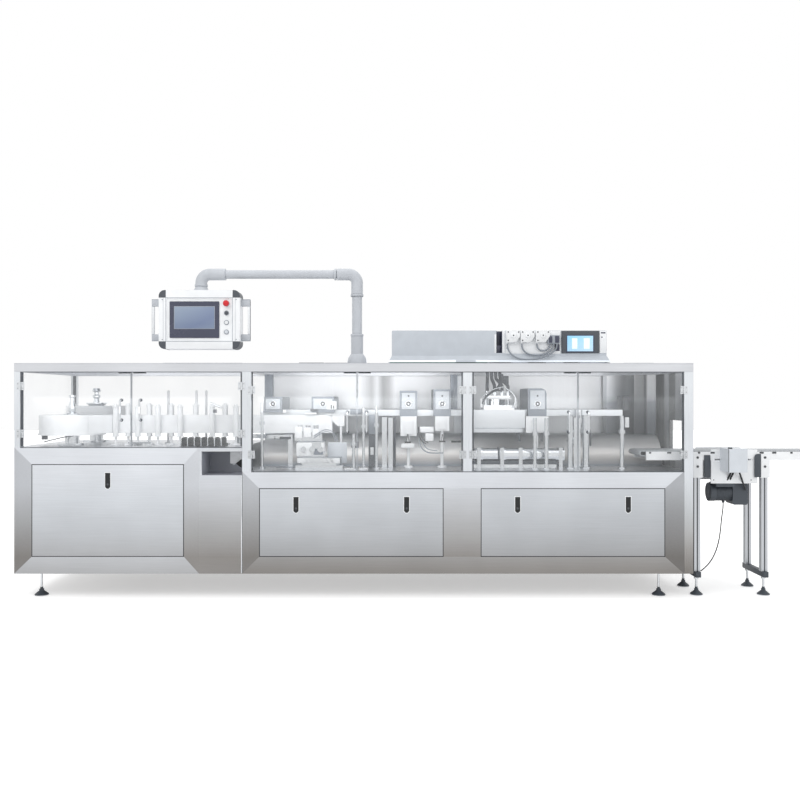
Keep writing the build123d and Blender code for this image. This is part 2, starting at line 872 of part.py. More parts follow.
with BuildPart() as cross_cylinder:
    lying(sum(cylinder_x) / 2, cylinder_y, cylinder_z, cylinder_diameter, cylinder_length)
    for offset in mount_offsets:
        centre = filling_bay[0] + offset
        block(
            (centre - mount_width / 2, centre + mount_width / 2),
            (cylinder_y - mount_depth / 2, cylinder_y + mount_depth / 2),
            (main_deck, main_deck + mount_height),
        )
        lying(
            centre + (mount_width + collar_width) / 2, cylinder_y, cylinder_z, collar_diameter, collar_width
        )

chute_diameter = 52
chute_wall = 3
chute_start = 732
chute_drop = 60
chute_bend = 240
chute_turn = 42
chute_x = filling_bay[0] + chute_start
chute_y = shelf_front - chute_diameter / 2 - seat_gap

with BuildPart() as bent_chute:
    with BuildLine(front_plane(chute_y)) as chute_path:
        drop = Line((chute_x, shelf_top), (chute_x, shelf_top - chute_drop))
        JernArc(start=drop @ 1, tangent=drop % 1, radius=chute_bend, arc_size=-chute_turn)
    with BuildSketch(Plane(origin=(chute_x, chute_y, shelf_top), z_dir=(0, 0, -1))):
        Circle(chute_diameter / 2)
        Circle(chute_diameter / 2 - chute_wall, mode=Mode.SUBTRACT)
    sweep(path=chute_path.wire())

# The feed rail runs from the infeed deck into the sealing bay
feed_rail_x = (seam - 100, sealing_bay[0] + 220)
feed_rail_y = (front + 320, front + 344)
feed_rail_z = (infeed_deck + 41, infeed_deck + 68)
feed_foot = 30

with BuildPart() as feed_rail:
    block(feed_rail_x, feed_rail_y, feed_rail_z)
    block((feed_rail_x[0], feed_rail_x[0] + feed_foot), feed_rail_y, (infeed_deck, feed_rail_z[0]))
    block((feed_rail_x[1] - feed_foot, feed_rail_x[1]), feed_rail_y, (main_deck, feed_rail_z[0]))
    chamfer(feed_rail.edges().filter_by(Axis.X).group_by(Axis.Z)[-1], 3)

with BuildPart() as bed_drives:
    add(pull_unit)
    add(cross_cylinder)
    add(bent_chute)
    add(feed_rail)
write(bed_drives.part, "bed_drives")

# Filling head under its hoses
fill_start = 118
fill_length = 168
fill_x = (filling_bay[0] + fill_start, filling_bay[0] + fill_start + fill_length)
fill_y = shelf_front + 40
fill_base = (12, 24, 30)
fill_base_y = (fill_y - 40, fill_y + 80)
drum_diameter = 92
drum_height = 48
drum_offset = 64
bridge_depth = 32
bridge_height = 16
pillar_diameter = 18
pillar_offsets = (4, 154)
nozzle_diameter = 26
nozzle_height = 32
nozzle_offsets = (14, 64, 114, 154)
base_top = shelf_top + fill_base[2]
drum_top = base_top + drum_height
bridge_top = drum_top + bridge_height
nozzle_top = bridge_top + nozzle_height

with BuildPart() as filling_head:
    block((fill_x[0] - fill_base[0], fill_x[1] + fill_base[1]), fill_base_y, (shelf_top, base_top))
    upright(fill_x[0] + drum_offset, fill_y, (base_top, drum_top), drum_diameter)
    block(fill_x, (fill_y - bridge_depth / 2, fill_y + bridge_depth / 2), (drum_top, bridge_top))
    for offset in nozzle_offsets:
        upright(fill_x[0] + offset, fill_y, (bridge_top, nozzle_top), nozzle_diameter)
        upright(fill_x[0] + offset, fill_y, (bridge_top + 8, bridge_top + 16), nozzle_diameter + 8)
    for offset in pillar_offsets:
        upright(fill_x[0] + offset, fill_y, (base_top, drum_top), pillar_diameter)
write(filling_head.part, "filling_head")

hose_diameter = 22
hose_rise = 36
hose_setback = 40
hose_bend = 30
hose_leans = (-6, 16, 38, 50)
with BuildPart() as filling_hoses:
    for offset, lean_x in zip(nozzle_offsets, hose_leans):
        start = (fill_x[0] + offset, fill_y, nozzle_top)
        with BuildLine() as hose_path:
            FilletPolyline(
                start,
                (start[0], start[1], start[2] + hose_rise),
                (start[0] - lean_x, start[1] + hose_setback, rail_low - hose_bend),
                (start[0] - lean_x, start[1] + hose_setback, guard_top),
                radius=hose_bend,
            )
        with BuildSketch(Plane(origin=start, z_dir=(0, 0, 1))):
            Circle(hose_diameter / 2)
        sweep(path=hose_path.wire())
write(filling_hoses.part, "filling_hoses")

# Outfeed shroud: the polished column wall at the end of the filling bay
shroud_flat = 120
shroud_bend = 240
shroud_turn = (150, 300)
shroud_depth = 340
with BuildPart() as outfeed_shroud:
    with BuildSketch(Plane.XY.offset(main_deck + bed_rise)):
        with BuildLine():
            Line((shroud_x[1], inner_back), (shroud_x[0], inner_back))
            Line((shroud_x[0], inner_back), (shroud_x[0], inner_back - shroud_flat))
            RadiusArc(
                (shroud_x[0], inner_back - shroud_flat),
                (shroud_x[0] + shroud_turn[0], inner_back - shroud_turn[1]),
                shroud_bend,
            )
            Line(
                (shroud_x[0] + shroud_turn[0], inner_back - shroud_turn[1]),
                (shroud_x[1], inner_back - shroud_depth),
            )
            Line((shroud_x[1], inner_back - shroud_depth), (shroud_x[1], inner_back))
        make_face()
    extrude(amount=rail_low - main_deck - bed_rise)
write(outfeed_shroud.part, "outfeed_shroud")

# Operator panel on its swivelling arm
arm_x = sealing_bay[0] + 652
arm_y = front + 200
panel_x = left + 1125
arm_height = roof_top + 582
base_diameter = 127
coupling_diameter = 78
coupling_low = roof_top + 68
coupling_high = roof_top + 190
tube_diameter = 56
elbow_diameter = 76
elbow_reach = 128
elbow_bend = 56
neck_diameter = 104
panel_size = (520, 120, 378)
panel_top = arm_height - 108

with BuildPart() as arm_base:
    with BuildSketch(Plane.XZ):
        with BuildLine():
            Polyline((0, roof_top), (base_diameter / 2, roof_top), (base_diameter / 2, roof_top + 10))
            RadiusArc(
                (base_diameter / 2, roof_top + 10),
                (coupling_diameter / 2, coupling_low - running_gap),
                -90,
            )
            Polyline(
                (coupling_diameter / 2, coupling_low - running_gap),
                (0, coupling_low - running_gap),
                (0, roof_top),
            )
        make_face()
    revolve(axis=Axis.Z)
arm_base_part = arm_base.part.moved(Location((arm_x, arm_y, 0)))
write(arm_base_part, "arm_base")


def bent_tube(points, diameter, bend, start_dir):
    """A round tube along straight runs that are joined by arcs."""
    with BuildPart() as tube:
        with BuildLine() as path:
            FilletPolyline(*points, radius=bend)
        with BuildSketch(Plane(origin=points[0], z_dir=start_dir)):
            Circle(diameter / 2)
        sweep(path=path.wire())
    return tube.part


right_elbow = bent_tube(
    (
        (arm_x, arm_y, arm_height - elbow_reach),
        (arm_x, arm_y, arm_height),
        (arm_x - elbow_reach, arm_y, arm_height),
    ),
    elbow_diameter, elbow_bend, (0, 0, 1),
)
left_elbow = bent_tube(
    (
        (panel_x, arm_y, panel_top + running_gap),
        (panel_x, arm_y, arm_height),
        (panel_x + elbow_reach + 24, arm_y, arm_height),
    ),
    elbow_diameter, elbow_bend, (0, 0, 1),
)
with BuildPart() as support_arm:
    add(right_elbow)
    add(left_elbow)
    with Locations(Location(((arm_x + panel_x) / 2, arm_y, arm_height), (0, 90, 0))):
        Cylinder(tube_diameter / 2, arm_x - panel_x - 2 * elbow_reach + 20)
    upright(arm_x, arm_y, (coupling_low, arm_height - elbow_reach), 65)
    upright(arm_x, arm_y, (coupling_low, coupling_high), coupling_diameter)
    with Locations((panel_x, arm_y, panel_top + running_gap + 12)):
        Cone(neck_diameter / 2, elbow_diameter / 2, 24)
write(support_arm.part, "support_arm")

corner_size = (46, 49)
panel_low = panel_top - panel_size[2]
panel_y = (arm_y - panel_size[1] / 2, arm_y + panel_size[1] / 2)
panel_sides = (panel_x - panel_size[0] / 2, panel_x + panel_size[0] / 2)
face_recess = 6
face_rim = 5
face_size = (panel_size[0] - 2 * corner_size[0], panel_size[2] - 2 * corner_size[1])
face_y = panel_y[0] + face_recess
panel_middle = (panel_top + panel_low) / 2

with BuildPart() as operator_panel:
    with BuildSketch(front_plane(panel_y[1])):
        with Locations((panel_x, panel_middle)):
            Rectangle(panel_size[0], face_size[1])
            Rectangle(face_size[0], panel_size[2])
    extrude(amount=panel_size[1])
    with BuildSketch(front_plane(panel_y[0])):
        with Locations((panel_x, panel_middle)):
            Rectangle(face_size[0] - 2 * face_rim, face_size[1] - 2 * face_rim)
    extrude(amount=-face_recess, mode=Mode.SUBTRACT)
write(operator_panel.part, "operator_panel")

with BuildPart() as panel_corners:
    for side_x in (-1, 1):
        for side_z in (-1, 1):
            inner = (panel_x + side_x * face_size[0] / 2, panel_middle + side_z * face_size[1] / 2)
            outer = (panel_x + side_x * panel_size[0] / 2, panel_middle + side_z * panel_size[2] / 2)
            block(sorted((inner[0], outer[0])), panel_y, sorted((inner[1], outer[1])))
    corner_edges = panel_corners.edges().filter_by(Axis.Y).filter_by(
        lambda edge: abs(edge.center().X - panel_x) > panel_size[0] / 2 - 1
        and abs(edge.center().Z - panel_middle) > panel_size[2] / 2 - 1
    )
    fillet(corner_edges, 38)
write(panel_corners.part, "panel_corners")

grip_out = 58
grip_height = 270
grip_bar = 14
arm_size = (20, 38)
with BuildPart() as panel_handles:
    for side in (-1, 1):
        edge = panel_x + side * panel_size[0] / 2
        with BuildSketch(front_plane(arm_y)):
            with Locations((edge + side * grip_out / 2, panel_middle)):
                Rectangle(grip_out, grip_height)
            with Locations((edge + side * (grip_out - grip_bar) / 2, panel_middle)):
                Rectangle(grip_out - grip_bar, grip_height - 2 * arm_size[1], mode=Mode.SUBTRACT)
        extrude(amount=arm_size[0] / 2, both=True)
write(panel_handles.part, "panel_handles")

bezel_size = (318, 234)
bezel_at = (panel_x - 31, panel_middle - 1)
bezel_thickness = 5
screen_size = (256, 140)
with BuildPart() as panel_display:
    with BuildSketch(front_plane(face_y)):
        with Locations(bezel_at):
            RectangleRounded(bezel_size[0], bezel_size[1], 5)
    extrude(amount=bezel_thickness)
    with BuildSketch(front_plane(face_y - bezel_thickness)):
        with Locations((bezel_at[0], bezel_at[1] + 13)):
            Rectangle(screen_size[0], screen_size[1])
    extrude(amount=-1.5, mode=Mode.SUBTRACT)
write(panel_display.part, "panel_display")

button_x = panel_x + 174
button_step = 61
button_top = panel_middle + 103
with BuildPart() as panel_buttons:
    for index in range(4):
        height = button_top - index * button_step
        with Locations(Location((button_x, face_y - 3, height), (90, 0, 0))):
            Cylinder(16, 6)
        radius = 20 if index == 0 else 11
        reach = 24 if index == 0 else 14
        with Locations(Location((button_x, face_y - 6 - reach / 2, height), (90, 0, 0))):
            Cylinder(radius, reach)
write(panel_buttons.part, "panel_buttons")

# Pump unit on the roof
pump_place = sealing_bay[1]
pump_x = (pump_place - 447, pump_place + 944)
pump_y = (front + 200, front + 560)
pump_gasket = 14
pump_height = 205
pump_base = roof_top + pump_gasket
pump_top = pump_base + pump_height
lip_height = 42
lip_reach = 22
pump_slot = (pump_place + 230, pump_place + 268)
pump_slot_depth = 60
pump_slot_height = 146
with BuildPart() as pump_housing:
    block(pump_x, pump_y, (pump_base + lip_height, pump_top))
    fillet(pump_housing.edges().filter_by(Axis.Y).group_by(Axis.Z)[-1], 8)
    with BuildSketch(Plane.XY.offset(pump_base)):
        with Locations(((pump_x[0] + pump_x[1]) / 2, (pump_y[0] + pump_y[1]) / 2)):
            Rectangle(pump_x[1] - pump_x[0] + 2 * lip_reach, pump_y[1] - pump_y[0] + 2 * lip_reach)
    with BuildSketch(Plane.XY.offset(pump_base + lip_height)):
        with Locations(((pump_x[0] + pump_x[1]) / 2, (pump_y[0] + pump_y[1]) / 2)):
            Rectangle(pump_x[1] - pump_x[0], pump_y[1] - pump_y[0])
    loft()
    block((pump_x[0], pump_x[1]), (pump_y[0], pump_y[1]), (roof_top, pump_base))
    block(
        pump_slot, (pump_y[0], pump_y[0] + pump_slot_depth), (pump_top - pump_slot_height, pump_top + 1),
        mode=Mode.SUBTRACT,
    )
write(pump_housing.part, "pump_housing")

pump_heads_x = (pump_place + 337, pump_place + 430, pump_place + 528)
head_diameter = 66
head_reach = 32
rotor_diameter = 30
rotor_reach = 6
clamp_span = (48, 10)
clamp_reach = 26
port_height = 60
pump_head_z = pump_top - 34
pump_clamp_low = pump_top - 80
port_x = (pump_place + 560, pump_place + 632)
port_low = pump_top - 89
with BuildPart() as pump_heads:
    for x in pump_heads_x:
        facing(x, pump_y[0] - head_reach / 2, pump_head_z, head_diameter, head_reach)
        facing(x, pump_y[0] - head_reach - rotor_reach / 2, pump_head_z, rotor_diameter, rotor_reach)
        block(
            (x - clamp_span[0], x + clamp_span[1]),
            (pump_y[0] - clamp_reach, pump_y[0]),
            (pump_clamp_low, pump_head_z),
        )
    block(port_x, (pump_y[0] - clamp_reach, pump_y[0]), (port_low, port_low + port_height))
write(pump_heads.part, "pump_heads")

screen_box_x = (pump_place + 652, pump_place + 895)
screen_box_reach = 12
with BuildPart() as pump_display:
    block(screen_box_x, (pump_y[0] - screen_box_reach, pump_y[0]), (pump_top - 146, pump_top - 2))
    chamfer(pump_display.faces().sort_by(Axis.Y)[0].edges(), 4)
write(pump_display.part, "pump_display")

# Outfeed conveyor
belt_thickness = 35
belt_tuck = 306
belt_margin = 14
belt_x = (right - belt_tuck, right + conveyor_reach)
belt_y = (conveyor_y[0] + belt_margin, conveyor_y[1] - belt_margin)
side_inset = 40
side_drop = 6
leg_size = 40
leg_slot = (8, 7)
leg_rows = (conveyor_y[0] + leg_size / 2, conveyor_y[1] - leg_size / 2)
first_leg = 58
leg_pitch = 428
leg_count = 3
leg_pairs = [right + first_leg + index * leg_pitch for index in range(leg_count)]
leg_top = belt_top - rail_drop
crossbar_z = (118, 152)
crossbar_width = 32
crossbar_reach = 42
drive_plate_x = (right + 146, right + 440)
drive_plate_drop = 208
drive_plate_rise = 8
drive_slots = ((right + 190, 43), (right + 395, 28))
slot_height = 10
slot_drop = 56
bracket_width = 64
bracket_thickness = 6
bracket_z = (leg_top - 111, belt_top - 26)
bracket_bolt = (14, 5)
side_thickness = belt_margin - seat_gap

with BuildPart() as conveyor_belt:
    with BuildSketch(front_plane(belt_y[0])):
        with Locations(((belt_x[0] + belt_x[1]) / 2, belt_top - belt_thickness / 2)):
            SlotOverall(belt_x[1] - belt_x[0], belt_thickness)
    extrude(amount=-(belt_y[1] - belt_y[0]))
write(conveyor_belt.part, "conveyor_belt")


def conveyor_side(y_face, inwards):
    """One side of the conveyor: its rail, the drive plate and the bracket at each leg."""
    row = sorted((y_face, y_face + inwards * side_thickness))
    bracket = sorted((y_face, y_face - inwards * bracket_thickness))
    bolt_y = y_face - inwards * (bracket_thickness + bracket_bolt[1] / 2)
    with BuildPart() as side:
        block((belt_x[0] + side_inset, belt_x[1] - side_inset), row, (leg_top, belt_top - side_drop))
        block(drive_plate_x, row, (belt_top - drive_plate_drop, belt_top + drive_plate_rise))
        for slot_x, length in drive_slots:
            block(
                (slot_x - length / 2, slot_x + length / 2),
                row,
                (belt_top - slot_drop - slot_height / 2, belt_top - slot_drop + slot_height / 2),
                mode=Mode.SUBTRACT,
            )
        for x in leg_pairs:
            block((x - bracket_width / 2, x + bracket_width / 2), bracket, bracket_z)
            for height in (leg_top - leg_size, leg_top + belt_thickness / 2):
                facing(x, bolt_y, height, bracket_bolt[0], bracket_bolt[1])
    return side.part


with BuildPart() as conveyor_frame:
    add(conveyor_side(conveyor_y[0], 1))
    add(conveyor_side(conveyor_y[1], -1))
write(conveyor_frame.part, "conveyor_frame")

with BuildPart() as conveyor_legs:
    with BuildSketch(Plane.XY.offset(crossbar_z[1])):
        for x in leg_pairs:
            for y in leg_rows:
                with Locations((x, y)):
                    Rectangle(leg_size, leg_size)
                    with PolarLocations((leg_size - leg_slot[1]) / 2, 4):
                        Rectangle(leg_slot[1], leg_slot[0], mode=Mode.SUBTRACT)
    extrude(amount=leg_top - crossbar_z[1])
    for x in leg_pairs:
        block(
            (x - crossbar_width / 2, x + crossbar_width / 2),
            (leg_rows[0] - crossbar_reach, leg_rows[1] + crossbar_reach),
            crossbar_z,
        )
write(conveyor_legs.part, "conveyor_legs")

foot_diameter = 85
stem_diameter = 14


def levelling_foot(diameter, top):
    """A conical foot with its nut and threaded stem, standing on the floor."""
    radius = diameter / 2
    with BuildPart() as foot:
        with BuildSketch(Plane.XZ):
            with BuildLine():
                Polyline(
                    (0, 0), (radius, 0), (radius, 8), (radius * 0.32, 30), (radius * 0.32, 40),
                    (stem_diameter / 2, 42), (stem_diameter / 2, top - 14), (stem_diameter, top - 14),
                    (stem_diameter, top), (0, top),
                    close=True,
                )
            make_face()
        revolve(axis=Axis.Z)
    return foot.part


machine_foot = levelling_foot(foot_diameter, cabinet_floor)
conveyor_foot = levelling_foot(foot_diameter - 7, crossbar_z[0])
left_foot_inset = 128
right_foot_inset = 186
foot_setback = 110

with BuildPart() as levelling_feet:
    for x in (left + left_foot_inset, right - right_foot_inset):
        for y in (front + foot_setback, back - foot_setback):
            with Locations((x, y, 0)):
                add(machine_foot)
    for x in leg_pairs:
        for y in leg_rows:
            with Locations((x, y, 0)):
                add(conveyor_foot)
write(levelling_feet.part, "levelling_feet")

cover_x = (right + 202, right + 316)
cover_z = (belt_top - 126, belt_top + 20)
knob_diameter = 26
knob_height = 12
knob_inset = 16
with BuildPart() as gear_cover:
    block(cover_x, (front - cover_reach, conveyor_y[0]), cover_z)
    fillet(gear_cover.edges().filter_by(Axis.Z).group_by(Axis.Y)[0], 5)
    knob_z = (cover_z[1], cover_z[1] + knob_height)
    upright(cover_x[0] + knob_inset, front - cover_reach / 2, knob_z, knob_diameter)
write(gear_cover.part, "gear_cover")

motor_x = (right + 160, right + 392)
motor_top = belt_top - drive_plate_drop
motor_y = conveyor_y[0] + 95
motor_z = motor_top - 62
motor_diameter = 112
fan_cover = (120, 34)
gearbox_length = 96
gearbox_half = 62
gearbox_drop = 78
terminal_y = (motor_y - 95, motor_y + 40)
gland_x = right + 257
gland_diameter = 18
gland_z = (motor_z - 70, motor_z - 40)
with BuildPart() as conveyor_motor:
    lying(
        (motor_x[0] + motor_x[1] - gearbox_length) / 2,
        motor_y,
        motor_z,
        motor_diameter,
        motor_x[1] - motor_x[0] - gearbox_length,
    )
    block(
        (motor_x[1] - gearbox_length, motor_x[1]),
        (motor_y - gearbox_half, motor_y + gearbox_half),
        (motor_z - gearbox_drop, motor_top),
    )
    fillet(conveyor_motor.edges().filter_by(Axis.Y), 12)
    lying(motor_x[0] + fan_cover[1] / 2, motor_y, motor_z, fan_cover[0], fan_cover[1])
    block((motor_x[0] + 20, motor_x[1] - gearbox_length), terminal_y, (motor_z + 40, motor_top))
    upright(gland_x, motor_y, gland_z, gland_diameter)
write(conveyor_motor.part, "conveyor_motor")

# Cords: straight runs joined by arcs, each arc as large as its two runs allow
def cord_tube(points, diameter, start_dir):
    """A cord's tube along its route; prints the arc radii and the tube's length."""
    route = [Vector(*point) for point in points]
    radii = []
    for before, corner, after in zip(route, route[1:], route[2:]):
        runs = (corner - before, after - corner)
        turn = math.radians(runs[0].get_angle(runs[1]))
        radii.append(0.45 * min(run.length for run in runs) / math.tan(turn / 2))
    with BuildPart() as tube:
        with BuildLine() as path:
            FilletPolyline(*points, radius=radii)
        with BuildSketch(Plane(origin=points[0], z_dir=start_dir)):
            Circle(diameter / 2)
        sweep(path=path.wire())
    length = path.wire().length
    ratio = tube.part.volume / (math.pi * diameter**2 / 4 * length)
    print("tube length", round(length), "volume ratio", round(ratio, 4), [round(r) for r in radii])
    return tube.part


motor_cord_diameter = 7
motor_cord_points = (
    (gland_x, motor_y, gland_z[0]),
    (gland_x, motor_y, 545),
    (gland_x - 8, motor_y - 3, 500),
    (gland_x - 17, motor_y - 10, 445),
    (gland_x - 25, motor_y - 16, 385),
    (gland_x - 37, motor_y - 20, 325),
    (gland_x - 55, motor_y - 22, 267),
    (gland_x - 79, motor_y - 20, 216),
    (gland_x - 105, motor_y - 16, 179),
    (gland_x - 133, motor_y - 14, 152),
    (gland_x - 153, motor_y - 13, 136),
    (leg_pairs[0] + crossbar_width / 2, motor_y - 13, 136),
)
write(cord_tube(motor_cord_points, motor_cord_diameter, (0, 0, -1)), "motor_cord")

pump_hose_diameter = 10
hose_y = pump_y[0] - 13
hose_starts = [x - 38 for x in pump_heads_x]
hose_routes = {
    "pump_hose_left": (
        (hose_starts[0], hose_y, pump_clamp_low),
        (hose_starts[0], hose_y, pump_top - 115),
        (pump_place + 322, hose_y - 6, pump_top - 157),
        (pump_place + 372, hose_y - 16, pump_top - 185),
        (pump_place + 434, hose_y - 20, pump_top - 191),
        (pump_place + 496, hose_y - 18, pump_top - 185),
        (pump_place + 552, hose_y - 12, pump_top - 167),
        (pump_place + 596, hose_y - 4, pump_top - 141),
        (port_x[1] - 12, hose_y, pump_top - 113),
        (port_x[1] - 12, hose_y, port_low),
    ),
    "pump_hose_middle": (
        (hose_starts[1], hose_y, pump_clamp_low),
        (hose_starts[1], hose_y, pump_top - 109),
        (pump_place + 408, hose_y - 2, pump_top - 137),
        (pump_place + 442, hose_y - 4, pump_top - 157),
        (pump_place + 488, hose_y - 5, pump_top - 163),
        (pump_place + 534, hose_y - 4, pump_top - 157),
        (pump_place + 574, hose_y - 2, pump_top - 137),
        (port_x[0] + 37, hose_y, pump_top - 111),
        (port_x[0] + 37, hose_y, port_low),
    ),
    "pump_hose_right": (
        (hose_starts[2], hose_y, pump_clamp_low),
        (hose_starts[2], hose_y, pump_top - 99),
        (pump_place + 499, hose_y, pump_top - 119),
        (pump_place + 519, hose_y, pump_top - 131),
        (pump_place + 542, hose_y, pump_top - 132),
        (pump_place + 563, hose_y, pump_top - 121),
        (port_x[0] + 14, hose_y, pump_top - 105),
        (port_x[0] + 14, hose_y, port_low),
    ),
}
for hose_name, hose_points in hose_routes.items():
    write(cord_tube(hose_points, pump_hose_diameter, (0, 0, -1)), hose_name)
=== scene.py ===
# %% [markdown]
# Sachet filling and sealing machine: the finishes and fine pieces.
#
# The machine's construction comes as a fixed frame of solids, in metres. This
# lesson puts real finishes on those solids and models the small pieces that they
# leave out. It starts by loading the frame.

# %% Load the frame
import math

import bmesh
import bpy
from mathutils import Matrix, Vector


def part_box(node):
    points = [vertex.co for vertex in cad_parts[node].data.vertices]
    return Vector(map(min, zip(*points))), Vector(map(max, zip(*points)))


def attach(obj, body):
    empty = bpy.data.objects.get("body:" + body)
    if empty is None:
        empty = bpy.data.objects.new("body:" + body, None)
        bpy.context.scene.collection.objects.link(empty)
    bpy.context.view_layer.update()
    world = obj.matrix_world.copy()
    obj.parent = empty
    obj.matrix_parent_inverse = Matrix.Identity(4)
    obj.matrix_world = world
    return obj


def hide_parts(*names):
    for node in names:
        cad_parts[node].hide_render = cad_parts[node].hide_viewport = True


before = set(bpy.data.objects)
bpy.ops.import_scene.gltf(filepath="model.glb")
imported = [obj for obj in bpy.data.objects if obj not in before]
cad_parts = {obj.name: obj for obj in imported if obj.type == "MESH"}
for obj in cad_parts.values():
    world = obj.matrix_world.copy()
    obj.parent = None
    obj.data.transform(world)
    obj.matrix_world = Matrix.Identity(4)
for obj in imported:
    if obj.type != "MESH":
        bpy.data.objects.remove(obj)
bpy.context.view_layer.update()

# %% [markdown]
# The camera stands where the photographer stood: level, a little left of the
# middle of the machine, six metres off and 1.24 m above the floor. A level camera
# keeps the posts upright, so no shift is needed.

# %% The camera
camera_place = (-0.244, -5.97, 1.243)
lens_length = 39.6
sensor_width = 36.0

camera_data = bpy.data.cameras.new("camera")
camera_data.lens = lens_length
camera_data.sensor_width = sensor_width
camera = bpy.data.objects.new("camera", camera_data)
camera.location = camera_place
camera.rotation_euler = (math.radians(90), 0, 0)
bpy.context.collection.objects.link(camera)
bpy.context.scene.camera = camera
bpy.context.scene.view_settings.view_transform = "Standard"
print("camera at", camera_place)

# %% [markdown]
# Shader colours are linear light, while a given colour is sRGB. One
# function turns the hex value over, and one more adds a node with its settings and
# its links, so that every material below reads as a short list.

# %% Colour and node helpers
def linear(code):
    """Turns an sRGB hex colour into the linear values that shaders use."""
    parts = [int(code[at:at + 2], 16) / 255 for at in (1, 3, 5)]
    return tuple(
        part / 12.92 if part <= 0.04045 else ((part + 0.055) / 1.055) ** 2.4 for part in parts
    ) + (1.0,)


def add(tree, kind, settings=None, links=None):
    """Adds a node: lower-case settings are its properties, the others its sockets."""
    node = tree.nodes.new("ShaderNode" + kind)
    for key, value in (settings or {}).items():
        if isinstance(key, str) and key[0].islower():
            setattr(node, key, value)
        else:
            node.inputs[key].default_value = value
    for key, source in (links or {}).items():
        tree.links.new(source, node.inputs[key])
    return node


def new_material(name):
    """An empty material; returns it with its node tree and its shader."""
    material = bpy.data.materials.new(name)
    material.use_nodes = True
    tree = material.node_tree
    tree.nodes.clear()
    shader = add(tree, "BsdfPrincipled")
    add(tree, "OutputMaterial", {}, {"Surface": shader.outputs["BSDF"]})
    return material, tree, shader


def per_mm(size):
    """The texture scale that makes one feature this many millimetres across."""
    return 1000 / size


print("mid grey is", round(linear("#808080")[0], 3), "in linear light")

# %% [markdown]
# The surround is white, as in a photographer's studio. The world shows full white to
# the camera, in reflections and through the clear panes, and lights the machine a
# little less than that, so that white pieces keep their shading.

# %% White surround
world_light = 0.62

world = bpy.data.worlds.new("surround")
world.use_nodes = True
bpy.context.scene.world = world
tree = world.node_tree
tree.nodes.clear()
path = add(tree, "LightPath")
seen = add(tree, "Math", {"operation": "MAXIMUM"}, {
    0: path.outputs["Is Camera Ray"], 1: path.outputs["Is Glossy Ray"],
})
shown = add(tree, "Math", {"operation": "MAXIMUM"}, {
    0: seen.outputs[0], 1: path.outputs["Is Transmission Ray"],
})
strength = add(tree, "MapRange", {"To Min": world_light, "To Max": 1.0}, {"Value": shown.outputs[0]})
background = add(tree, "Background", {"Color": linear("#ffffff")}, {"Strength": strength.outputs[0]})
add(tree, "OutputWorld", {}, {"Surface": background.outputs[0]})
print("the surround lights the machine with", world_light, "of the white that it shows")

# %% [markdown]
# The floor is matte white. It adds a little light of its own for the camera, so that
# it meets the white behind it and still keeps the soft shadow under the machine. That
# light grows with the distance, because the lamps stand close to the machine. The
# steel mirrors the floor too, so a small share of it shows in reflections.

# %% Pale floor
near_lift, far_lift = 0.46, 0.95
mirror_lift = 0.12
lift_reach = (2.0, 7.0)
floor_size = 60.0

floor_material = bpy.data.materials.new("pale floor")
floor_material.use_nodes = True
tree = floor_material.node_tree
tree.nodes.clear()
path = add(tree, "LightPath")
place = add(tree, "TexCoord").outputs["Object"]
reach = add(tree, "VectorMath", {"operation": "LENGTH"}, {0: place})
growth = add(tree, "MapRange", {
    "From Min": lift_reach[0], "From Max": lift_reach[1], "To Min": near_lift, "To Max": far_lift,
}, {"Value": reach.outputs["Value"]})
straight = add(tree, "Math", {"operation": "MULTIPLY"}, {
    0: path.outputs["Is Camera Ray"], 1: growth.outputs[0],
})
mirrored = add(tree, "Math", {"operation": "MULTIPLY", 1: mirror_lift}, {
    0: path.outputs["Is Glossy Ray"],
})
lift = add(tree, "Math", {"operation": "ADD"}, {0: straight.outputs[0], 1: mirrored.outputs[0]})
matte = add(tree, "BsdfDiffuse", {"Color": linear("#f0f0f0")})
glow = add(tree, "Emission", {"Color": linear("#ffffff")}, {"Strength": lift.outputs[0]})
both = add(tree, "AddShader", {}, {0: matte.outputs[0], 1: glow.outputs[0]})
add(tree, "OutputMaterial", {}, {"Surface": both.outputs[0]})

floor_mesh = bpy.data.meshes.new("floor")
bm = bmesh.new()
bmesh.ops.create_grid(bm, x_segments=1, y_segments=1, size=floor_size / 2)
bm.to_mesh(floor_mesh)
bm.free()
floor_mesh.materials.append(floor_material)
floor = bpy.data.objects.new("floor", floor_mesh)
bpy.context.collection.objects.link(floor)
print("floor", floor_size, "m across")

# %% [markdown]
# Three large soft lamps light the machine: a key lamp from the front left, a weaker
# one from the front right and one from above. They stay out of the reflections. The
# bays are closed boxes of bright sheet that throw the light about, and a weak flat
# lamp under the roof of each bay stands for that.

# %% Lamps
bay_lamps = {"infeed": (-1.92, 1.9), "sealing": (-0.51, 3.0), "filling": (0.87, 1.7)}
bay_lamp_size = (1.25, 0.6)
bay_lamp_y, bay_lamp_level = -0.36, 1.40
bay_aim_y, bay_aim_level = 0.25, 0.95


def soft_lamp(name, place, aim, size, power):
    """A square area lamp that points at a place on the machine."""
    data = bpy.data.lights.new(name, "AREA")
    data.size = size
    data.energy = power
    lamp = bpy.data.objects.new(name, data)
    lamp.location = place
    lamp.rotation_euler = (Vector(aim) - Vector(place)).to_track_quat("-Z", "Y").to_euler()
    lamp.visible_glossy = False
    bpy.context.collection.objects.link(lamp)
    return lamp


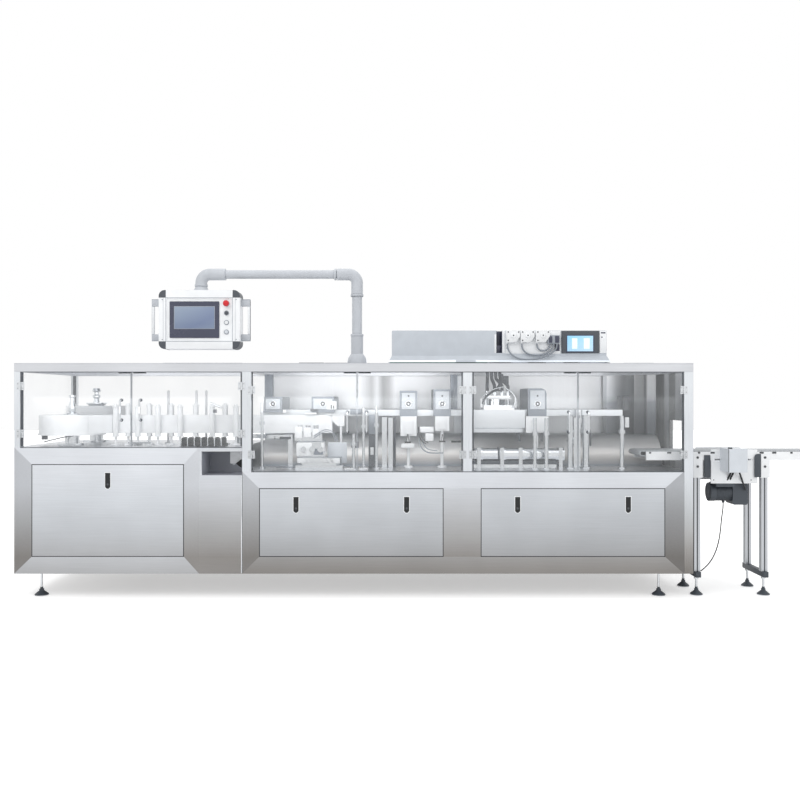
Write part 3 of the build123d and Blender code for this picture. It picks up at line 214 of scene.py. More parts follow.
soft_lamp("key lamp", (-3.5, -5.0, 5.5), (-0.4, 0.0, 0.9), 4.0, 175)
soft_lamp("fill lamp", (4.5, -5.0, 3.0), (0.4, 0.0, 0.8), 4.0, 85)
soft_lamp("top lamp", (0.0, 0.6, 6.0), (0.0, 0.0, 0.0), 5.0, 130)
for bay, (middle, power) in bay_lamps.items():
    place, aim = (middle, bay_lamp_y, bay_lamp_level), (middle, bay_aim_y, bay_aim_level)
    bay_lamp = soft_lamp(bay + " bay lamp", place, aim, bay_lamp_size[0], power)
    bay_lamp.data.shape = "RECTANGLE"
    bay_lamp.data.size_y = bay_lamp_size[1]
    bay_lamp.visible_glossy = True
    bay_lamp.visible_camera = False
print("lamps", [lamp.name for lamp in bpy.data.lights])

# %% [markdown]
# Most of the machine is brushed stainless steel, grade 304. Such sheet mirrors a
# blurred picture of the room, which is brighter higher up. That reflection is painted
# into the colour as a slow change of tone with height: pairs of a height in metres and
# a colour, read by a colour ramp. Panels, walls, beds and posts lean differently, so
# each has its own painted reflection.

# %% Painted reflections by height
sheet_painted_reflection = (
    (0.15, "#94918f"), (0.26, "#918e8b"), (0.49, "#b5b6b8"), (0.71, "#d6d9de"),
    (0.95, "#dcdfe4"), (1.47, "#dfe1e5"),
)
panel_painted_reflection = ((0.26, "#abacae"), (0.42, "#c0c3c7"), (0.62, "#d3d7dc"), (0.84, "#e0e3e8"))
post_painted_reflection = (
    (0.15, "#85817d"), (0.32, "#a09e9c"), (0.56, "#c8cbce"), (0.80, "#e3e7ec"), (1.42, "#eef2f6"),
)
# The walls are darker low down, under the shelf: a painted shade.
wall_painted_reflection_and_shade = ((0.80, "#d9dadc"), (1.00, "#eceef0"), (1.42, "#f4f5f7"))
# The shroud is dark up to 1.22 m: a painted reflection of the bay's corner.
shroud_painted_reflection = ((1.00, "#7f848b"), (1.22, "#8b9097"), (1.28, "#dcdfe3"), (1.42, "#f4f5f7"))
shelf_painted_reflection = ((1.00, "#d6dade"), (1.42, "#e2e5e8"))
# The bed's white step is a painted highlight, and its dark low end a painted shade.
bed_painted_highlight_and_shade = (
    (0.80, "#9ba2aa"), (0.84, "#c9c6c4"), (0.88, "#fbf8f5"), (0.97, "#ffffff"), (1.01, "#d6dade"),
)


def painted_reflection_by_height(tree, place, tones):
    """A painted reflection that changes with height, from pairs of height in metres and hex colour."""
    low, high = tones[0][0], tones[-1][0]
    axes = add(tree, "SeparateXYZ", {}, {0: place})
    height = add(tree, "MapRange", {"From Min": low, "From Max": high}, {"Value": axes.outputs[2]})
    tone = add(tree, "ValToRGB", {}, {0: height.outputs[0]})
    ramp = tone.color_ramp
    ramp.elements[0].color = linear(tones[0][1])
    ramp.elements[1].color = linear(tones[-1][1])
    for level, code in tones[1:-1]:
        ramp.elements.new((level - low) / (high - low)).color = linear(code)
    return tone.outputs[0]


print("the cabinet sheet changes its tone at", [level for level, _ in sheet_painted_reflection], "m")

# %% [markdown]
# The painted tone also depends on where a face looks. A bevel that turns to the side
# mirrors the sides of the room, so it gets a painted shade, a little darker. Sheet inside
# the guard mirrors the posts and tubes that stand before it; those reflections are
# painted as soft upright bands. Two functions add these painted shades. The bands are
# pairs of a place across the sheet, in metres, and a shade, and they slant a little
# with the depth, as seen from the camera.

# %% Painted shade of bevels and painted reflection bands
full_turn = 0.22
band_slant = 0.35
wall_painted_reflection_bands = (
    (-0.72, 1.0), (-0.63, 0.62), (-0.59, 0.90), (-0.545, 0.46), (-0.50, 0.62), (-0.46, 1.0),
    (1.10, 1.0), (1.19, 0.62), (1.27, 0.60), (1.32, 0.34), (1.34, 0.24), (1.395, 0.20),
    (1.405, 0.04), (1.413, 0.04), (1.422, 0.50), (1.482, 0.44), (1.495, 0.14), (1.54, 0.16),
    (1.55, 1.0), (1.578, 0.95), (1.586, 0.20), (1.625, 0.24), (1.632, 0.90), (1.70, 1.0),
)
bed_painted_reflection_bands = ((-1.20, 1.25), (-0.60, 1.20), (0.10, 1.05), (0.60, 0.80), (1.53, 0.70))
panel_painted_reflection_bands = ((-2.60, 1.05), (-1.40, 1.05), (-1.00, 0.95), (1.50, 0.90))


def grey(level):
    """One level as the colour of a ramp."""
    return (level, level, level, 1.0)


def painted_bevel_shade(tree, facing, shade, turns):
    """Paints shade on faces that turn right, by the first of the turns, and left, by the second."""
    for end, level in ((full_turn, turns[0]), (-full_turn, turns[1])):
        turned_away = add(tree, "MapRange", {"From Max": end, "To Min": 1.0, "To Max": level}, {
            "Value": facing.outputs[0],
        })
        shade = add(tree, "Math", {"operation": "MULTIPLY"}, {
            0: shade.outputs[0], 1: turned_away.outputs[0],
        })
    return shade


def painted_reflection_bands(tree, place, shade, bands):
    """Paints reflections as upright bands of shade across the sheet."""
    first, last = bands[0][0], bands[-1][0]
    slant = {"operation": "DOT_PRODUCT", 1: (1.0, -band_slant, 0.0)}
    across = add(tree, "VectorMath", slant, {0: place})
    spread = add(tree, "MapRange", {"From Min": first, "From Max": last}, {
        "Value": across.outputs["Value"],
    })
    band = add(tree, "ValToRGB", {}, {0: spread.outputs[0]})
    band.color_ramp.elements[0].color = grey(bands[0][1])
    band.color_ramp.elements[1].color = grey(bands[-1][1])
    for at, level in bands[1:-1]:
        band.color_ramp.elements.new((at - first) / (last - first)).color = grey(level)
    return add(tree, "Math", {"operation": "MULTIPLY"}, {0: shade.outputs[0], 1: band.outputs[0]})


print("the bay walls have", len(wall_painted_reflection_bands), "steps of shade")

# %% [markdown]
# The sheet is rolled and then sanded along its length with a fine belt, so the
# highlight spreads across the lines and the colour changes a little from line to
# line. The real lines are a tenth of a millimetre wide. They are drawn 3 mm wide
# here, or they would not show from six metres. Clouds as wide as a forearm is long
# keep the large faces from looking printed. A face that turns up mirrors a higher
# part of the room, so its painted reflection is read from a raised place, which
# paints it lighter.

# %% Brushed sheet
grain_length = 260
grain_width = 3.0
cloud_size = 420
streak_shades = {"From Min": 0.3, "From Max": 0.7, "To Min": 0.95, "To Max": 1.04}
cloud_shades = {"From Min": 0.3, "From Max": 0.7, "To Min": 0.95, "To Max": 1.05}
smoother, rougher = 0.06, 0.08
line_bump = {"Strength": 0.12, "Distance": 0.0004}


def brushed_steel(
    name, tones, roughness, along="X", turns=(0.76, 0.76, 0.0), bands=(), metallic=1.0
):
    """Brushed sheet with a painted reflection by height, its lines along one axis.

    Turns are the painted shade of a face that turns right, the painted shade of one that
    turns left, and how much higher the painted reflection is read on one that turns up.
    Bands are painted reflections across the sheet.
    """
    material, tree, shader = new_material(name)
    centre = add(tree, "TexCoord")
    place = centre.outputs["Object"]
    fine, long_way = per_mm(grain_width), per_mm(grain_length)
    stretch = {"X": (long_way, fine, fine), "Y": (fine, long_way, fine), "Z": (fine, fine, long_way)}
    lines = add(tree, "Mapping", {"Scale": stretch[along]}, {"Vector": place})
    grain = add(tree, "TexNoise", {"Scale": 1.0, "Detail": 3.0, "Roughness": 0.7}, {
        "Vector": lines.outputs[0],
    })
    clouds = add(tree, "TexNoise", {"Scale": per_mm(cloud_size), "Detail": 2.0}, {"Vector": place})
    streak = add(tree, "MapRange", streak_shades, {"Value": grain.outputs[0]})
    cloud = add(tree, "MapRange", cloud_shades, {"Value": clouds.outputs[0]})
    facing = add(tree, "SeparateXYZ", {}, {0: centre.outputs["Normal"]})
    shade = add(tree, "Math", {"operation": "MULTIPLY"}, {
        0: streak.outputs[0], 1: cloud.outputs[0],
    })
    shade = painted_bevel_shade(tree, facing, shade, turns)
    if bands:
        shade = painted_reflection_bands(tree, place, shade, bands)
    # A face that turns up reads its painted reflection from a raised place.
    upwards = add(tree, "Math", {"operation": "MAXIMUM", 1: 0.0}, {0: facing.outputs[2]})
    higher = add(tree, "CombineXYZ", {}, {2: upwards.outputs[0]})
    lift = {"operation": "SCALE", "Scale": turns[2]}
    reach = add(tree, "VectorMath", lift, {0: higher.outputs[0]})
    mirrored_place = add(tree, "VectorMath", {"operation": "ADD"}, {0: place, 1: reach.outputs[0]})
    tone = painted_reflection_by_height(tree, mirrored_place.outputs[0], tones)
    colour = add(tree, "VectorMath", {"operation": "SCALE"}, {0: tone, "Scale": shade.outputs[0]})
    gloss = add(tree, "MapRange", {"To Min": roughness - smoother, "To Max": roughness + rougher}, {
        "Value": grain.outputs[0],
    })
    bump = add(tree, "Bump", line_bump, {"Height": grain.outputs[0]})
    for socket, source in (("Base Color", colour), ("Roughness", gloss), ("Normal", bump)):
        tree.links.new(source.outputs[0], shader.inputs[socket])
    shader.inputs["Metallic"].default_value = metallic
    return material


print("brushed lines are drawn", grain_width, "mm wide and", grain_length, "mm long")

# %% [markdown]
# One function now gives all the sheet of the machine. The outside is brushed across,
# along the machine, and the posts are brushed upright. The sheet inside is bright
# annealed, which is smoother to the eye than brushed sheet and blurs more. The bed
# under its cover reads as a mix of metal and pale film, so it is only part metallic.

# %% Steel finishes
# Cladding, brushed along the machine: long soft highlights, painted shade on its side
# bevels and a painted reflection that reads higher on faces that turn up.
steel = brushed_steel("brushed stainless sheet", sheet_painted_reflection, 0.30, turns=(0.80, 0.62, 0.4))
# The infeed cladding: faces that turn up get a lighter painted reflection of a higher
# part of the room, and bevels that turn right a painted shade.
infeed_steel = brushed_steel("brushed infeed sheet", sheet_painted_reflection, 0.30, turns=(0.82, 1.0, 1.5))
# Square tube, brushed along its length: a bright upright line, with painted shade on its
# sides and a painted reflection that darkens towards the floor.
steel_upright = brushed_steel("brushed stainless post", post_painted_reflection, 0.28, "Z")
# Service panels, brushed across: a little rougher, from wiping, with painted shade on
# their side bevels and painted reflection bands that darken a little to the right.
panel_steel = brushed_steel("brushed service panel", panel_painted_reflection, 0.34, bands=panel_painted_reflection_bands)
# Bay walls, bright annealed: nearly white, with painted reflections of what is before
# them as upright bands, and a painted shade low down.
wall_steel = brushed_steel(
    "bright annealed wall sheet", wall_painted_reflection_and_shade, 0.38, "Z", (1.0, 1.0, 0.0), wall_painted_reflection_bands
)
# The shroud at the outfeed, polished: a painted reflection of the bay's corner darkens
# it below 1.22 m, and it has the walls' painted reflection bands.
shroud_steel = brushed_steel(
    "polished shroud sheet", shroud_painted_reflection, 0.38, "Z", (1.0, 1.0, 0.0), wall_painted_reflection_bands
)
# The station shelf, bright annealed: even and pale, with painted shade on its side faces
# and a faint painted reflection that darkens lower down.
shelf_steel = brushed_steel("bright annealed shelf sheet", shelf_painted_reflection, 0.38)
# The curved bed cover, polished: one long painted highlight over a painted dark foot,
# and painted reflection bands that fade to the right.
bed_steel = brushed_steel(
    "polished bed sheet", bed_painted_highlight_and_shade, 0.36, "X", (0.9, 0.9, 0.0), bed_painted_reflection_bands, 0.45
)
print("steel finishes", [item.name for item in (steel, steel_upright, panel_steel, wall_steel)])

# %% [markdown]
# Bright metal: the handles, rods and clamps are stainless bar, ground and then
# polished or chromed. It reflects the room clearly, with faint turning marks, so
# its roughness is low, and the marks change its gloss more than its shape.

# %% Polished steel and aluminium
mark_size = 9
mark_depth = 0.0003


def bright_metal(name, tone, roughness, ripple):
    """Polished or drawn metal with a faint uneven gloss."""
    material, tree, shader = new_material(name)
    place = add(tree, "TexCoord").outputs["Object"]
    marks = add(tree, "TexNoise", {"Scale": per_mm(mark_size), "Detail": 4.0}, {"Vector": place})
    gloss = add(tree, "MapRange", {"To Min": roughness * 0.6, "To Max": roughness * 1.5}, {
        "Value": marks.outputs[0],
    })
    tint = add(tree, "MapRange", {"To Min": 0.93, "To Max": 1.05}, {"Value": marks.outputs[0]})
    colour = add(tree, "VectorMath", {"operation": "SCALE", 0: linear(tone)[:3]}, {
        "Scale": tint.outputs[0],
    })
    bump = add(tree, "Bump", {"Strength": ripple, "Distance": mark_depth}, {
        "Height": marks.outputs[0],
    })
    tree.links.new(colour.outputs[0], shader.inputs["Base Color"])
    tree.links.new(gloss.outputs[0], shader.inputs["Roughness"])
    tree.links.new(bump.outputs[0], shader.inputs["Normal"])
    shader.inputs["Metallic"].default_value = 1.0
    return material


# Ground and polished bar: small clear highlights and dark edges.
chrome = bright_metal("polished stainless bar", "#e2e5e8", 0.14, 0.03)
# Satin bar: the same steel, its highlight a little spread.
satin = bright_metal("satin stainless bar", "#b4b8bd", 0.28, 0.05)
# Blasted with glass beads: an even matt grey. On the drive heads and the bays' uprights
# it is darker than their steel and also paints the shade in which they stand.
grey_steel_and_painted_shade = bright_metal("bead-blasted stainless", "#8f959d", 0.42, 0.05)
# Drawn and anodised profile: pale, with a silky shine.
aluminium = bright_metal("anodised aluminium", "#c9ccd0", 0.34, 0.06)
# Black oxide on steel screws: dark, with a dull gleam.
dark_steel = bright_metal("blackened steel", "#5b5d60", 0.38, 0.08)
print("bright metals", [item.name for item in (chrome, satin, aluminium, dark_steel)])

# %% [markdown]
# Moulded plastics, paint and rubber differ in colour, gloss and the size of the
# grain that the mould or the spray leaves. One finish function takes the three.
# Slight wear, a hand's width across, changes the gloss and the colour from place to
# place. The grain is a shallow bump, its depth given in millimetres.

# %% A moulded or sprayed surface
wear_size = 90
wear_shades = {"From Min": 0.3, "From Max": 0.7, "To Min": 0.95, "To Max": 1.03}
wear_gloss = 0.06
plastic_ior = 1.5


def moulded(name, tone, roughness, grain, depth, sheen=0.0):
    """A moulded or painted surface with its grain size and depth in millimetres."""
    material, tree, shader = new_material(name)
    place = add(tree, "TexCoord").outputs["Object"]
    texture = add(tree, "TexNoise", {"Scale": per_mm(grain), "Detail": 3.0}, {"Vector": place})
    wear = add(tree, "TexNoise", {"Scale": per_mm(wear_size), "Detail": 4.0}, {"Vector": place})
    tint = add(tree, "MapRange", wear_shades, {"Value": wear.outputs[0]})
    colour = add(tree, "VectorMath", {"operation": "SCALE", 0: linear(tone)[:3]}, {
        "Scale": tint.outputs[0],
    })
    gloss = add(tree, "MapRange", {
        "To Min": roughness - wear_gloss, "To Max": roughness + wear_gloss,
    }, {"Value": wear.outputs[0]})
    bump = add(tree, "Bump", {"Strength": 0.25, "Distance": depth / 1000}, {
        "Height": texture.outputs[0],
    })
    tree.links.new(colour.outputs[0], shader.inputs["Base Color"])
    tree.links.new(gloss.outputs[0], shader.inputs["Roughness"])
    tree.links.new(bump.outputs[0], shader.inputs["Normal"])
    shader.inputs["Sheen Weight"].default_value = sheen
    shader.inputs["IOR"].default_value = plastic_ior
    return material


print("a hand's width of wear repeats", round(per_mm(wear_size), 1), "times in a metre")

# %% [markdown]
# The plastics and rubbers. A moulding has a fine texture from its mould, or none
# where the mould was polished, and rubber is dull with a soft sheen.

# %% Plastics and rubber
# Acetal, milled from white stock: an even white with a soft, waxy shine.
white_plastic = moulded("white acetal", "#e9ebed", 0.38, 2.0, 0.10)
# Polyamide, moulded in black: dull, with a fine even grain.
black_plastic = moulded("black polyamide", "#151719", 0.50, 1.5, 0.15)
# ABS, moulded in two greys: smoother than polyamide, with a broad soft highlight.
grey_plastic = moulded("grey ABS", "#9aa0a8", 0.42, 1.5, 0.12)
dark_grey_plastic = moulded("dark grey ABS", "#4f5359", 0.42, 1.5, 0.12)
# Nitrile rubber, extruded: hardly any shine, only a sheen where it turns away.
black_rubber = moulded("black nitrile rubber", "#1d1f22", 0.72, 1.0, 0.20, 0.2)
gasket_rubber = moulded("dark green nitrile rubber", "#27453a", 0.70, 1.0, 0.15, 0.2)
# Polycarbonate, moulded in a polished tool: a full colour under a clear highlight.
red_plastic = moulded("red polycarbonate", "#c9222a", 0.30, 3.0, 0.05)
bezel_plastic = moulded("slate polycarbonate bezel", "#454859", 0.26, 2.0, 0.05)
# Acetal slats, worn matt by what they carry.
belt_plastic = moulded("grey acetal belt", "#a9adb1", 0.46, 1.5, 0.12)
# Soft PVC hose: one long blurred highlight along its back.
grey_hose_rubber = moulded("grey PVC hose", "#8d939b", 0.40, 3.0, 0.08)
print("plastics and rubbers bring the finishes to", len(bpy.data.materials))

# %% [markdown]
# The paints. Each is sprayed and then baked or dried, so it is smoother than a
# moulding, with a faint orange peel that is a few millimetres wide.

# %% Paints
# Powder coat, baked on sheet: thick, white and slightly dimpled.
panel_paint = moulded("white powder coat", "#eff1f3", 0.36, 2.5, 0.12)
# Enamel, sprayed on cast or welded pieces: smooth, with a faint orange peel.
arm_paint = moulded("light grey enamel", "#bcc0c6", 0.34, 3.0, 0.10)
pump_paint = moulded("pale grey enamel", "#c3c9d0", 0.36, 3.0, 0.10)
tray_paint = moulded("grey liner enamel", "#a9acb4", 0.36, 3.0, 0.10)
motor_paint = moulded("dark grey enamel", "#444a51", 0.42, 2.5, 0.15)
# Hammer enamel: its dimples are twice as wide, so its highlight breaks up.
cover_paint = moulded("grey hammer enamel", "#cfd4da", 0.40, 6.0, 0.20)
print("paints bring the finishes to", len(bpy.data.materials))

# %% [markdown]
# The guard panes are clear polycarbonate, cast flat. From the front they only
# veil what is behind them, so most of each ray passes straight through, and the
# rest shows a smooth, slightly milky surface. Film is thin laminated foil: white
# and glossy, with slight waves from the tension.

# %% Clear panes and film
haze_size = 300
polycarbonate_ior = 1.585


def clear_sheet(name, tone, cover, roughness):
    """A clear sheet that hides only a share of what is behind it."""
    material, tree, shader = new_material(name)
    place = add(tree, "TexCoord").outputs["Object"]
    haze = add(tree, "TexNoise", {"Scale": per_mm(haze_size), "Detail": 2.0}, {"Vector": place})
    veil = add(tree, "MapRange", {
        "From Min": 0.3, "From Max": 0.7, "To Min": cover * 0.7, "To Max": cover * 1.3,
    }, {"Value": haze.outputs[0]})
    tree.links.new(veil.outputs[0], shader.inputs["Alpha"])
    shader.inputs["Base Color"].default_value = linear(tone)
    shader.inputs["Roughness"].default_value = roughness
    shader.inputs["IOR"].default_value = polycarbonate_ior
    return material


# Cast polycarbonate: it hides seven hundredths of what is behind it.
pane_plastic = clear_sheet("clear polycarbonate pane", "#eef2f5", 0.07, 0.08)
# Laminated foil under tension: glossy white, its waves 14 mm apart.
film_foil = moulded("laminated film", "#f1f3f5", 0.22, 14.0, 0.25)
print("see-through and film finishes", [item.name for item in (pane_plastic, film_foil)])

# %% [markdown]
# The solids of the frame whose shape is right only need their finish. Each one
# keeps its place, its mesh and its body, and the finish goes into the slots of its
# object.

# %% Finishes on the frame's solids
def dress(material, *names):
    """Puts one finish on solids of the frame."""
    for name in names:
        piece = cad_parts[name]
        if not piece.material_slots:
            piece.data.materials.append(material)
        for slot in piece.material_slots:
            slot.material = material


doors = [f"{bay}_door_{side}" for bay in ("infeed", "sealing", "filling") for side in ("left", "right")]
dress(steel, "main_cabinet", "top_rails", "roof_plate")
dress(infeed_steel, "infeed_cabinet")
dress(wall_steel, "bay_walls")
dress(shroud_steel, "outfeed_shroud")
dress(shelf_steel, "station_shelf")
dress(bed_steel, "bed_cover")
dress(panel_steel, "service_panels")
dress(steel_upright, "guard_posts")
dress(pane_plastic, "side_windows", *doors)
dress(chrome, "hinge_leaves", "roll_stands", "support_posts")
dress(chrome, *[door + "_fittings" for door in doors])
dress(chrome, "roll_clamp_front", "roll_clamp_rear", "levelling_feet", "bed_drives", "filling_head")
dress(black_plastic, "panel_latches", "door_catches", "splice_grippers")
dress(film_foil, "film_roll_front", "film_roll_rear", "film_web")
dress(white_plastic, "guide_rollers", "sealing_jaws", "pump_heads")
# The heads' bodies are in the matt grey that also paints the shade on their sides and round their face
# plates.
dress(grey_steel_and_painted_shade, "drive_heads")
dress(dark_grey_plastic, "filling_hoses")
dress(arm_paint, "arm_base", "support_arm")
dress(panel_paint, "operator_panel")
dress(dark_grey_plastic, "panel_corners", "panel_buttons", "pump_display")
dress(bezel_plastic, "panel_display")
dress(grey_plastic, "panel_handles")
dress(pump_paint, "pump_housing")
dress(belt_plastic, "conveyor_belt")
dress(panel_paint, "conveyor_frame")
dress(aluminium, "conveyor_legs")
dress(cover_paint, "gear_cover")
dress(motor_paint, "conveyor_motor")
print("solids in the frame", len(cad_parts))

# %% [markdown]
# A cord or hose is one smooth curve of its real length. It leaves its clamp
# straight, sags under its own weight and ends in the next fitting. A NURBS spline
# of order three through a few control points gives that line. It cuts the corners
# of its route, so it is a little shorter than the route's straight runs.


def cord(name, points, diameter, material, body):
    """A free cord on its route, from one fitting to the other, points in metres."""
    curve = bpy.data.curves.new(name, "CURVE")
    curve.dimensions = "3D"
    curve.bevel_depth = diameter / 2
    curve.bevel_resolution = 4
    curve.resolution_u = 10
    curve.use_fill_caps = True
    spline = curve.splines.new("NURBS")
    spline.points.add(len(points) - 1)
    for point, place in zip(spline.points, points):
        point.co = (*place, 1.0)
    spline.order_u = 3
    spline.use_endpoint_u = True
    curve.materials.append(material)
    piece = bpy.data.objects.new(name, curve)
    bpy.context.collection.objects.link(piece)
    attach(piece, body)
    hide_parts(name.removesuffix("_line"))
    return piece

# %% [markdown]
# The motor's cord drops from its gland, swings out to the left and comes in low at
# the first crossbar. Its points stand in metres, from the gland to the bar.

# %% Motor cord
motor_cord_route = [
    (1.847, -0.275, 0.580), (1.847, -0.275, 0.545), (1.839, -0.278, 0.500), (1.830, -0.285, 0.445),
    (1.822, -0.291, 0.385), (1.810, -0.295, 0.325), (1.792, -0.297, 0.267), (1.768, -0.295, 0.216),
    (1.742, -0.291, 0.179), (1.714, -0.289, 0.152), (1.694, -0.288, 0.136), (1.664, -0.288, 0.136),
]
cord(
    "motor_cord_line", motor_cord_route, 0.007, black_rubber, "machine",
)

# %% [markdown]
# Three hoses run from the pump heads to one port. The left head is the farthest, so
# its hose hangs lowest, and the three lie in each other's bow.

# %% Pump hoses
hose_routes = {
    "pump_hose_left_line": [
        (0.449, -0.283, 1.613), (0.449, -0.283, 1.578), (0.472, -0.289, 1.536), (0.522, -0.299, 1.508),
        (0.584, -0.303, 1.502), (0.646, -0.301, 1.508), (0.702, -0.295, 1.526), (0.746, -0.287, 1.552),
        (0.770, -0.283, 1.580), (0.770, -0.283, 1.604),
    ],
    "pump_hose_middle_line": [
        (0.542, -0.283, 1.613), (0.542, -0.283, 1.584), (0.558, -0.285, 1.556), (0.592, -0.287, 1.536),
        (0.638, -0.288, 1.530), (0.684, -0.287, 1.536), (0.724, -0.285, 1.556), (0.747, -0.283, 1.582),
        (0.747, -0.283, 1.604),
    ],
    "pump_hose_right_line": [
        (0.640, -0.283, 1.613), (0.640, -0.283, 1.594), (0.649, -0.283, 1.574), (0.669, -0.283, 1.562),
        (0.692, -0.283, 1.561), (0.713, -0.283, 1.572), (0.724, -0.283, 1.588), (0.724, -0.283, 1.604),
    ],
}
for hose_name, hose_route in hose_routes.items():
    cord(hose_name, hose_route, 0.010, grey_hose_rubber, "machine")

# %% [markdown]
# The fine pieces are drawn in millimetres, as a fitter would measure them, and are
# turned to metres when they are finished. Real edges are never sharp, and small
# bevels catch the light. So a block is a cube that is stretched between two corners
# and bevelled, and a rod is a cylinder between two points with its rims bevelled.

# %% Blocks and rods
def edges_of(corners):
    """The edges at some corners, each once and always in the same order."""
    return list(dict.fromkeys(edge for corner in corners for edge in corner.link_edges))


def round_over(bm, edges, width, segments=2):
    """Bevels some edges."""
    bmesh.ops.bevel(
        bm, geom=edges, offset=width, affect="EDGES", segments=segments, profile=0.5, material=-1
    )


def bar(bm, low, high, edge=1.0, segments=2):
    """Adds a block between two corners, its edges rounded off."""
    size = Vector(high) - Vector(low)
    middle = (Vector(high) + Vector(low)) / 2
    place = Matrix.Translation(middle) @ Matrix.Diagonal((*size, 1.0))
    made = bmesh.ops.create_cube(bm, size=1.0, matrix=place)
    round_over(bm, edges_of(made["verts"]), min(edge, 0.4 * min(size)), segments)


def rod(bm, start, end, diameter, edge=0.0, sides=20):
    """Adds a round bar from one point to another, its rims rounded off."""
    run = Vector(end) - Vector(start)
    turn = run.to_track_quat("Z", "Y").to_matrix().to_4x4()
    made = bmesh.ops.create_cone(
        bm, cap_ends=True, segments=sides, radius1=diameter / 2, radius2=diameter / 2,
        depth=run.length, matrix=Matrix.Translation((Vector(start) + Vector(end)) / 2) @ turn,
    )
    if edge:
        rims = [
            item for item in edges_of(made["verts"])
            if max(len(face.verts) for face in item.link_faces) > 4
        ]
        round_over(bm, rims, edge)


trial = bmesh.new()
bar(trial, (0, 0, 0), (10, 10, 10))
print("a block with rounded edges has", len(trial.faces), "faces")
trial.free()

# %% [markdown]
# Knobs, rings, screws and washers are turned parts, so an outline of radius and
# height is spun once round its axis. The seam and the poles are then closed. A shape
# that comes back is drawn once and copied to its places, its top turned upwards, to
# the front, or wherever the real one faces.

# %% Turned shapes and their places
facings = {
    "up": Matrix.Identity(4),
    "front": Matrix.Rotation(math.radians(90), 4, "X"),
    "back": Matrix.Rotation(math.radians(-90), 4, "X"),
    "right": Matrix.Rotation(math.radians(90), 4, "Y"),
    "left": Matrix.Rotation(math.radians(-90), 4, "Y"),
}


def put(bm, shape, place, facing="up"):
    """Copies a shape to a place, its top turned the way that it faces."""
    mesh = bpy.data.meshes.new("copy")
    shape.to_mesh(mesh)
    mesh.transform(Matrix.Translation(place) @ facings[facing])
    bm.from_mesh(mesh)
    bpy.data.meshes.remove(mesh)


def turned(outline, steps=28):
    """Spins an outline of (radius, height) pairs into a closed shape."""
    shape = bmesh.new()
    corners = [shape.verts.new((radius, 0, height)) for radius, height in outline]
    edges = [shape.edges.new(pair) for pair in zip(corners, corners[1:])]
    bmesh.ops.spin(
        shape, geom=corners + edges, cent=(0, 0, 0), axis=(0, 0, 1), dvec=(0, 0, 0),
        angle=math.tau, steps=steps, use_merge=True,
    )
    bmesh.ops.remove_doubles(shape, verts=shape.verts, dist=0.001)
    bmesh.ops.recalc_face_normals(shape, faces=shape.faces)
    return shape


washer = turned(((0, 0), (10, 0), (10, 2), (8, 3.2), (0, 3.2)), 20)
screw_head = turned(((0, 0), (3.6, 0), (3.4, 1.2), (1.8, 1.8), (0, 1.8)), 12)
print("a turned screw head has", len(screw_head.faces), "faces")

# %% [markdown]
# A plate is one face with the outline of the real one, extruded to its thickness. A
# bent pipe is a row of circles that are bridged one to the next. Its corners are cut
# twice, a quarter of the way in from each end of a run, which turns them into bows.

# %% Plates and pipes
corner_cuts, cut_share = 2, 0.25


def plate(bm, outline, front_y, back_y, edge=0.0):
    """Adds a plate cut to an outline of (x, z) corners, between two depths."""
    shape = bmesh.new()
    face = shape.faces.new([shape.verts.new((x, front_y, z)) for x, z in outline])
    grown = bmesh.ops.extrude_face_region(shape, geom=[face])["geom"]
    moved = [item for item in grown if isinstance(item, bmesh.types.BMVert)]
    bmesh.ops.translate(shape, vec=(0, back_y - front_y, 0), verts=moved)
    bmesh.ops.recalc_face_normals(shape, faces=shape.faces)
    if edge:
        round_over(shape, shape.edges[:], edge)
    put(bm, shape, (0, 0, 0))
    shape.free()


def pipe(bm, points, diameter, sides=12):
    """Adds a bent pipe, its corners cut into a smooth run and joined ring by ring."""
    path = [Vector(point) for point in points]
    for _ in range(corner_cuts):
        cuts = [
            first.lerp(second, share)
            for first, second in zip(path, path[1:]) for share in (cut_share, 1 - cut_share)
        ]
        path = [path[0], *cuts, path[-1]]
    rings = []
    for index, point in enumerate(path):
        run = path[min(index + 1, len(path) - 1)] - path[max(index - 1, 0)]
        turn = run.to_track_quat("Z", "Y").to_matrix().to_4x4()
        made = bmesh.ops.create_circle(
            bm, cap_ends=index in (0, len(path) - 1), segments=sides, radius=diameter / 2,
            matrix=Matrix.Translation(point) @ turn,
        )
        rings.append(edges_of(made["verts"]))
    for first, second in zip(rings, rings[1:]):
        bmesh.ops.bridge_loops(bm, edges=first + second)


trial = bmesh.new()
pipe(trial, ((0, 0, 0), (0, 0, 50), (50, 0, 50)), 10)
print("a pipe with one bow has", len(trial.faces), "faces")
trial.free()

# %% [markdown]
# A finished drawing gets its normals set outwards and is turned to metres. The mesh
# is shaded smooth except at its real edges, gets its finish and rides on its body.
# Its object stays at the origin, so patterns on it can't slide. The span of a solid
# tells where a fine piece has to go.

# %% From drawing to piece
sharp_angle = math.radians(32)


def blocks(named, edge=1.0, segments=2):
    """A drawing of several named blocks, each from its lowest to its highest corner."""
    bm = bmesh.new()
    for low, high in named.values():
        bar(bm, low, high, edge, segments)
    return bm


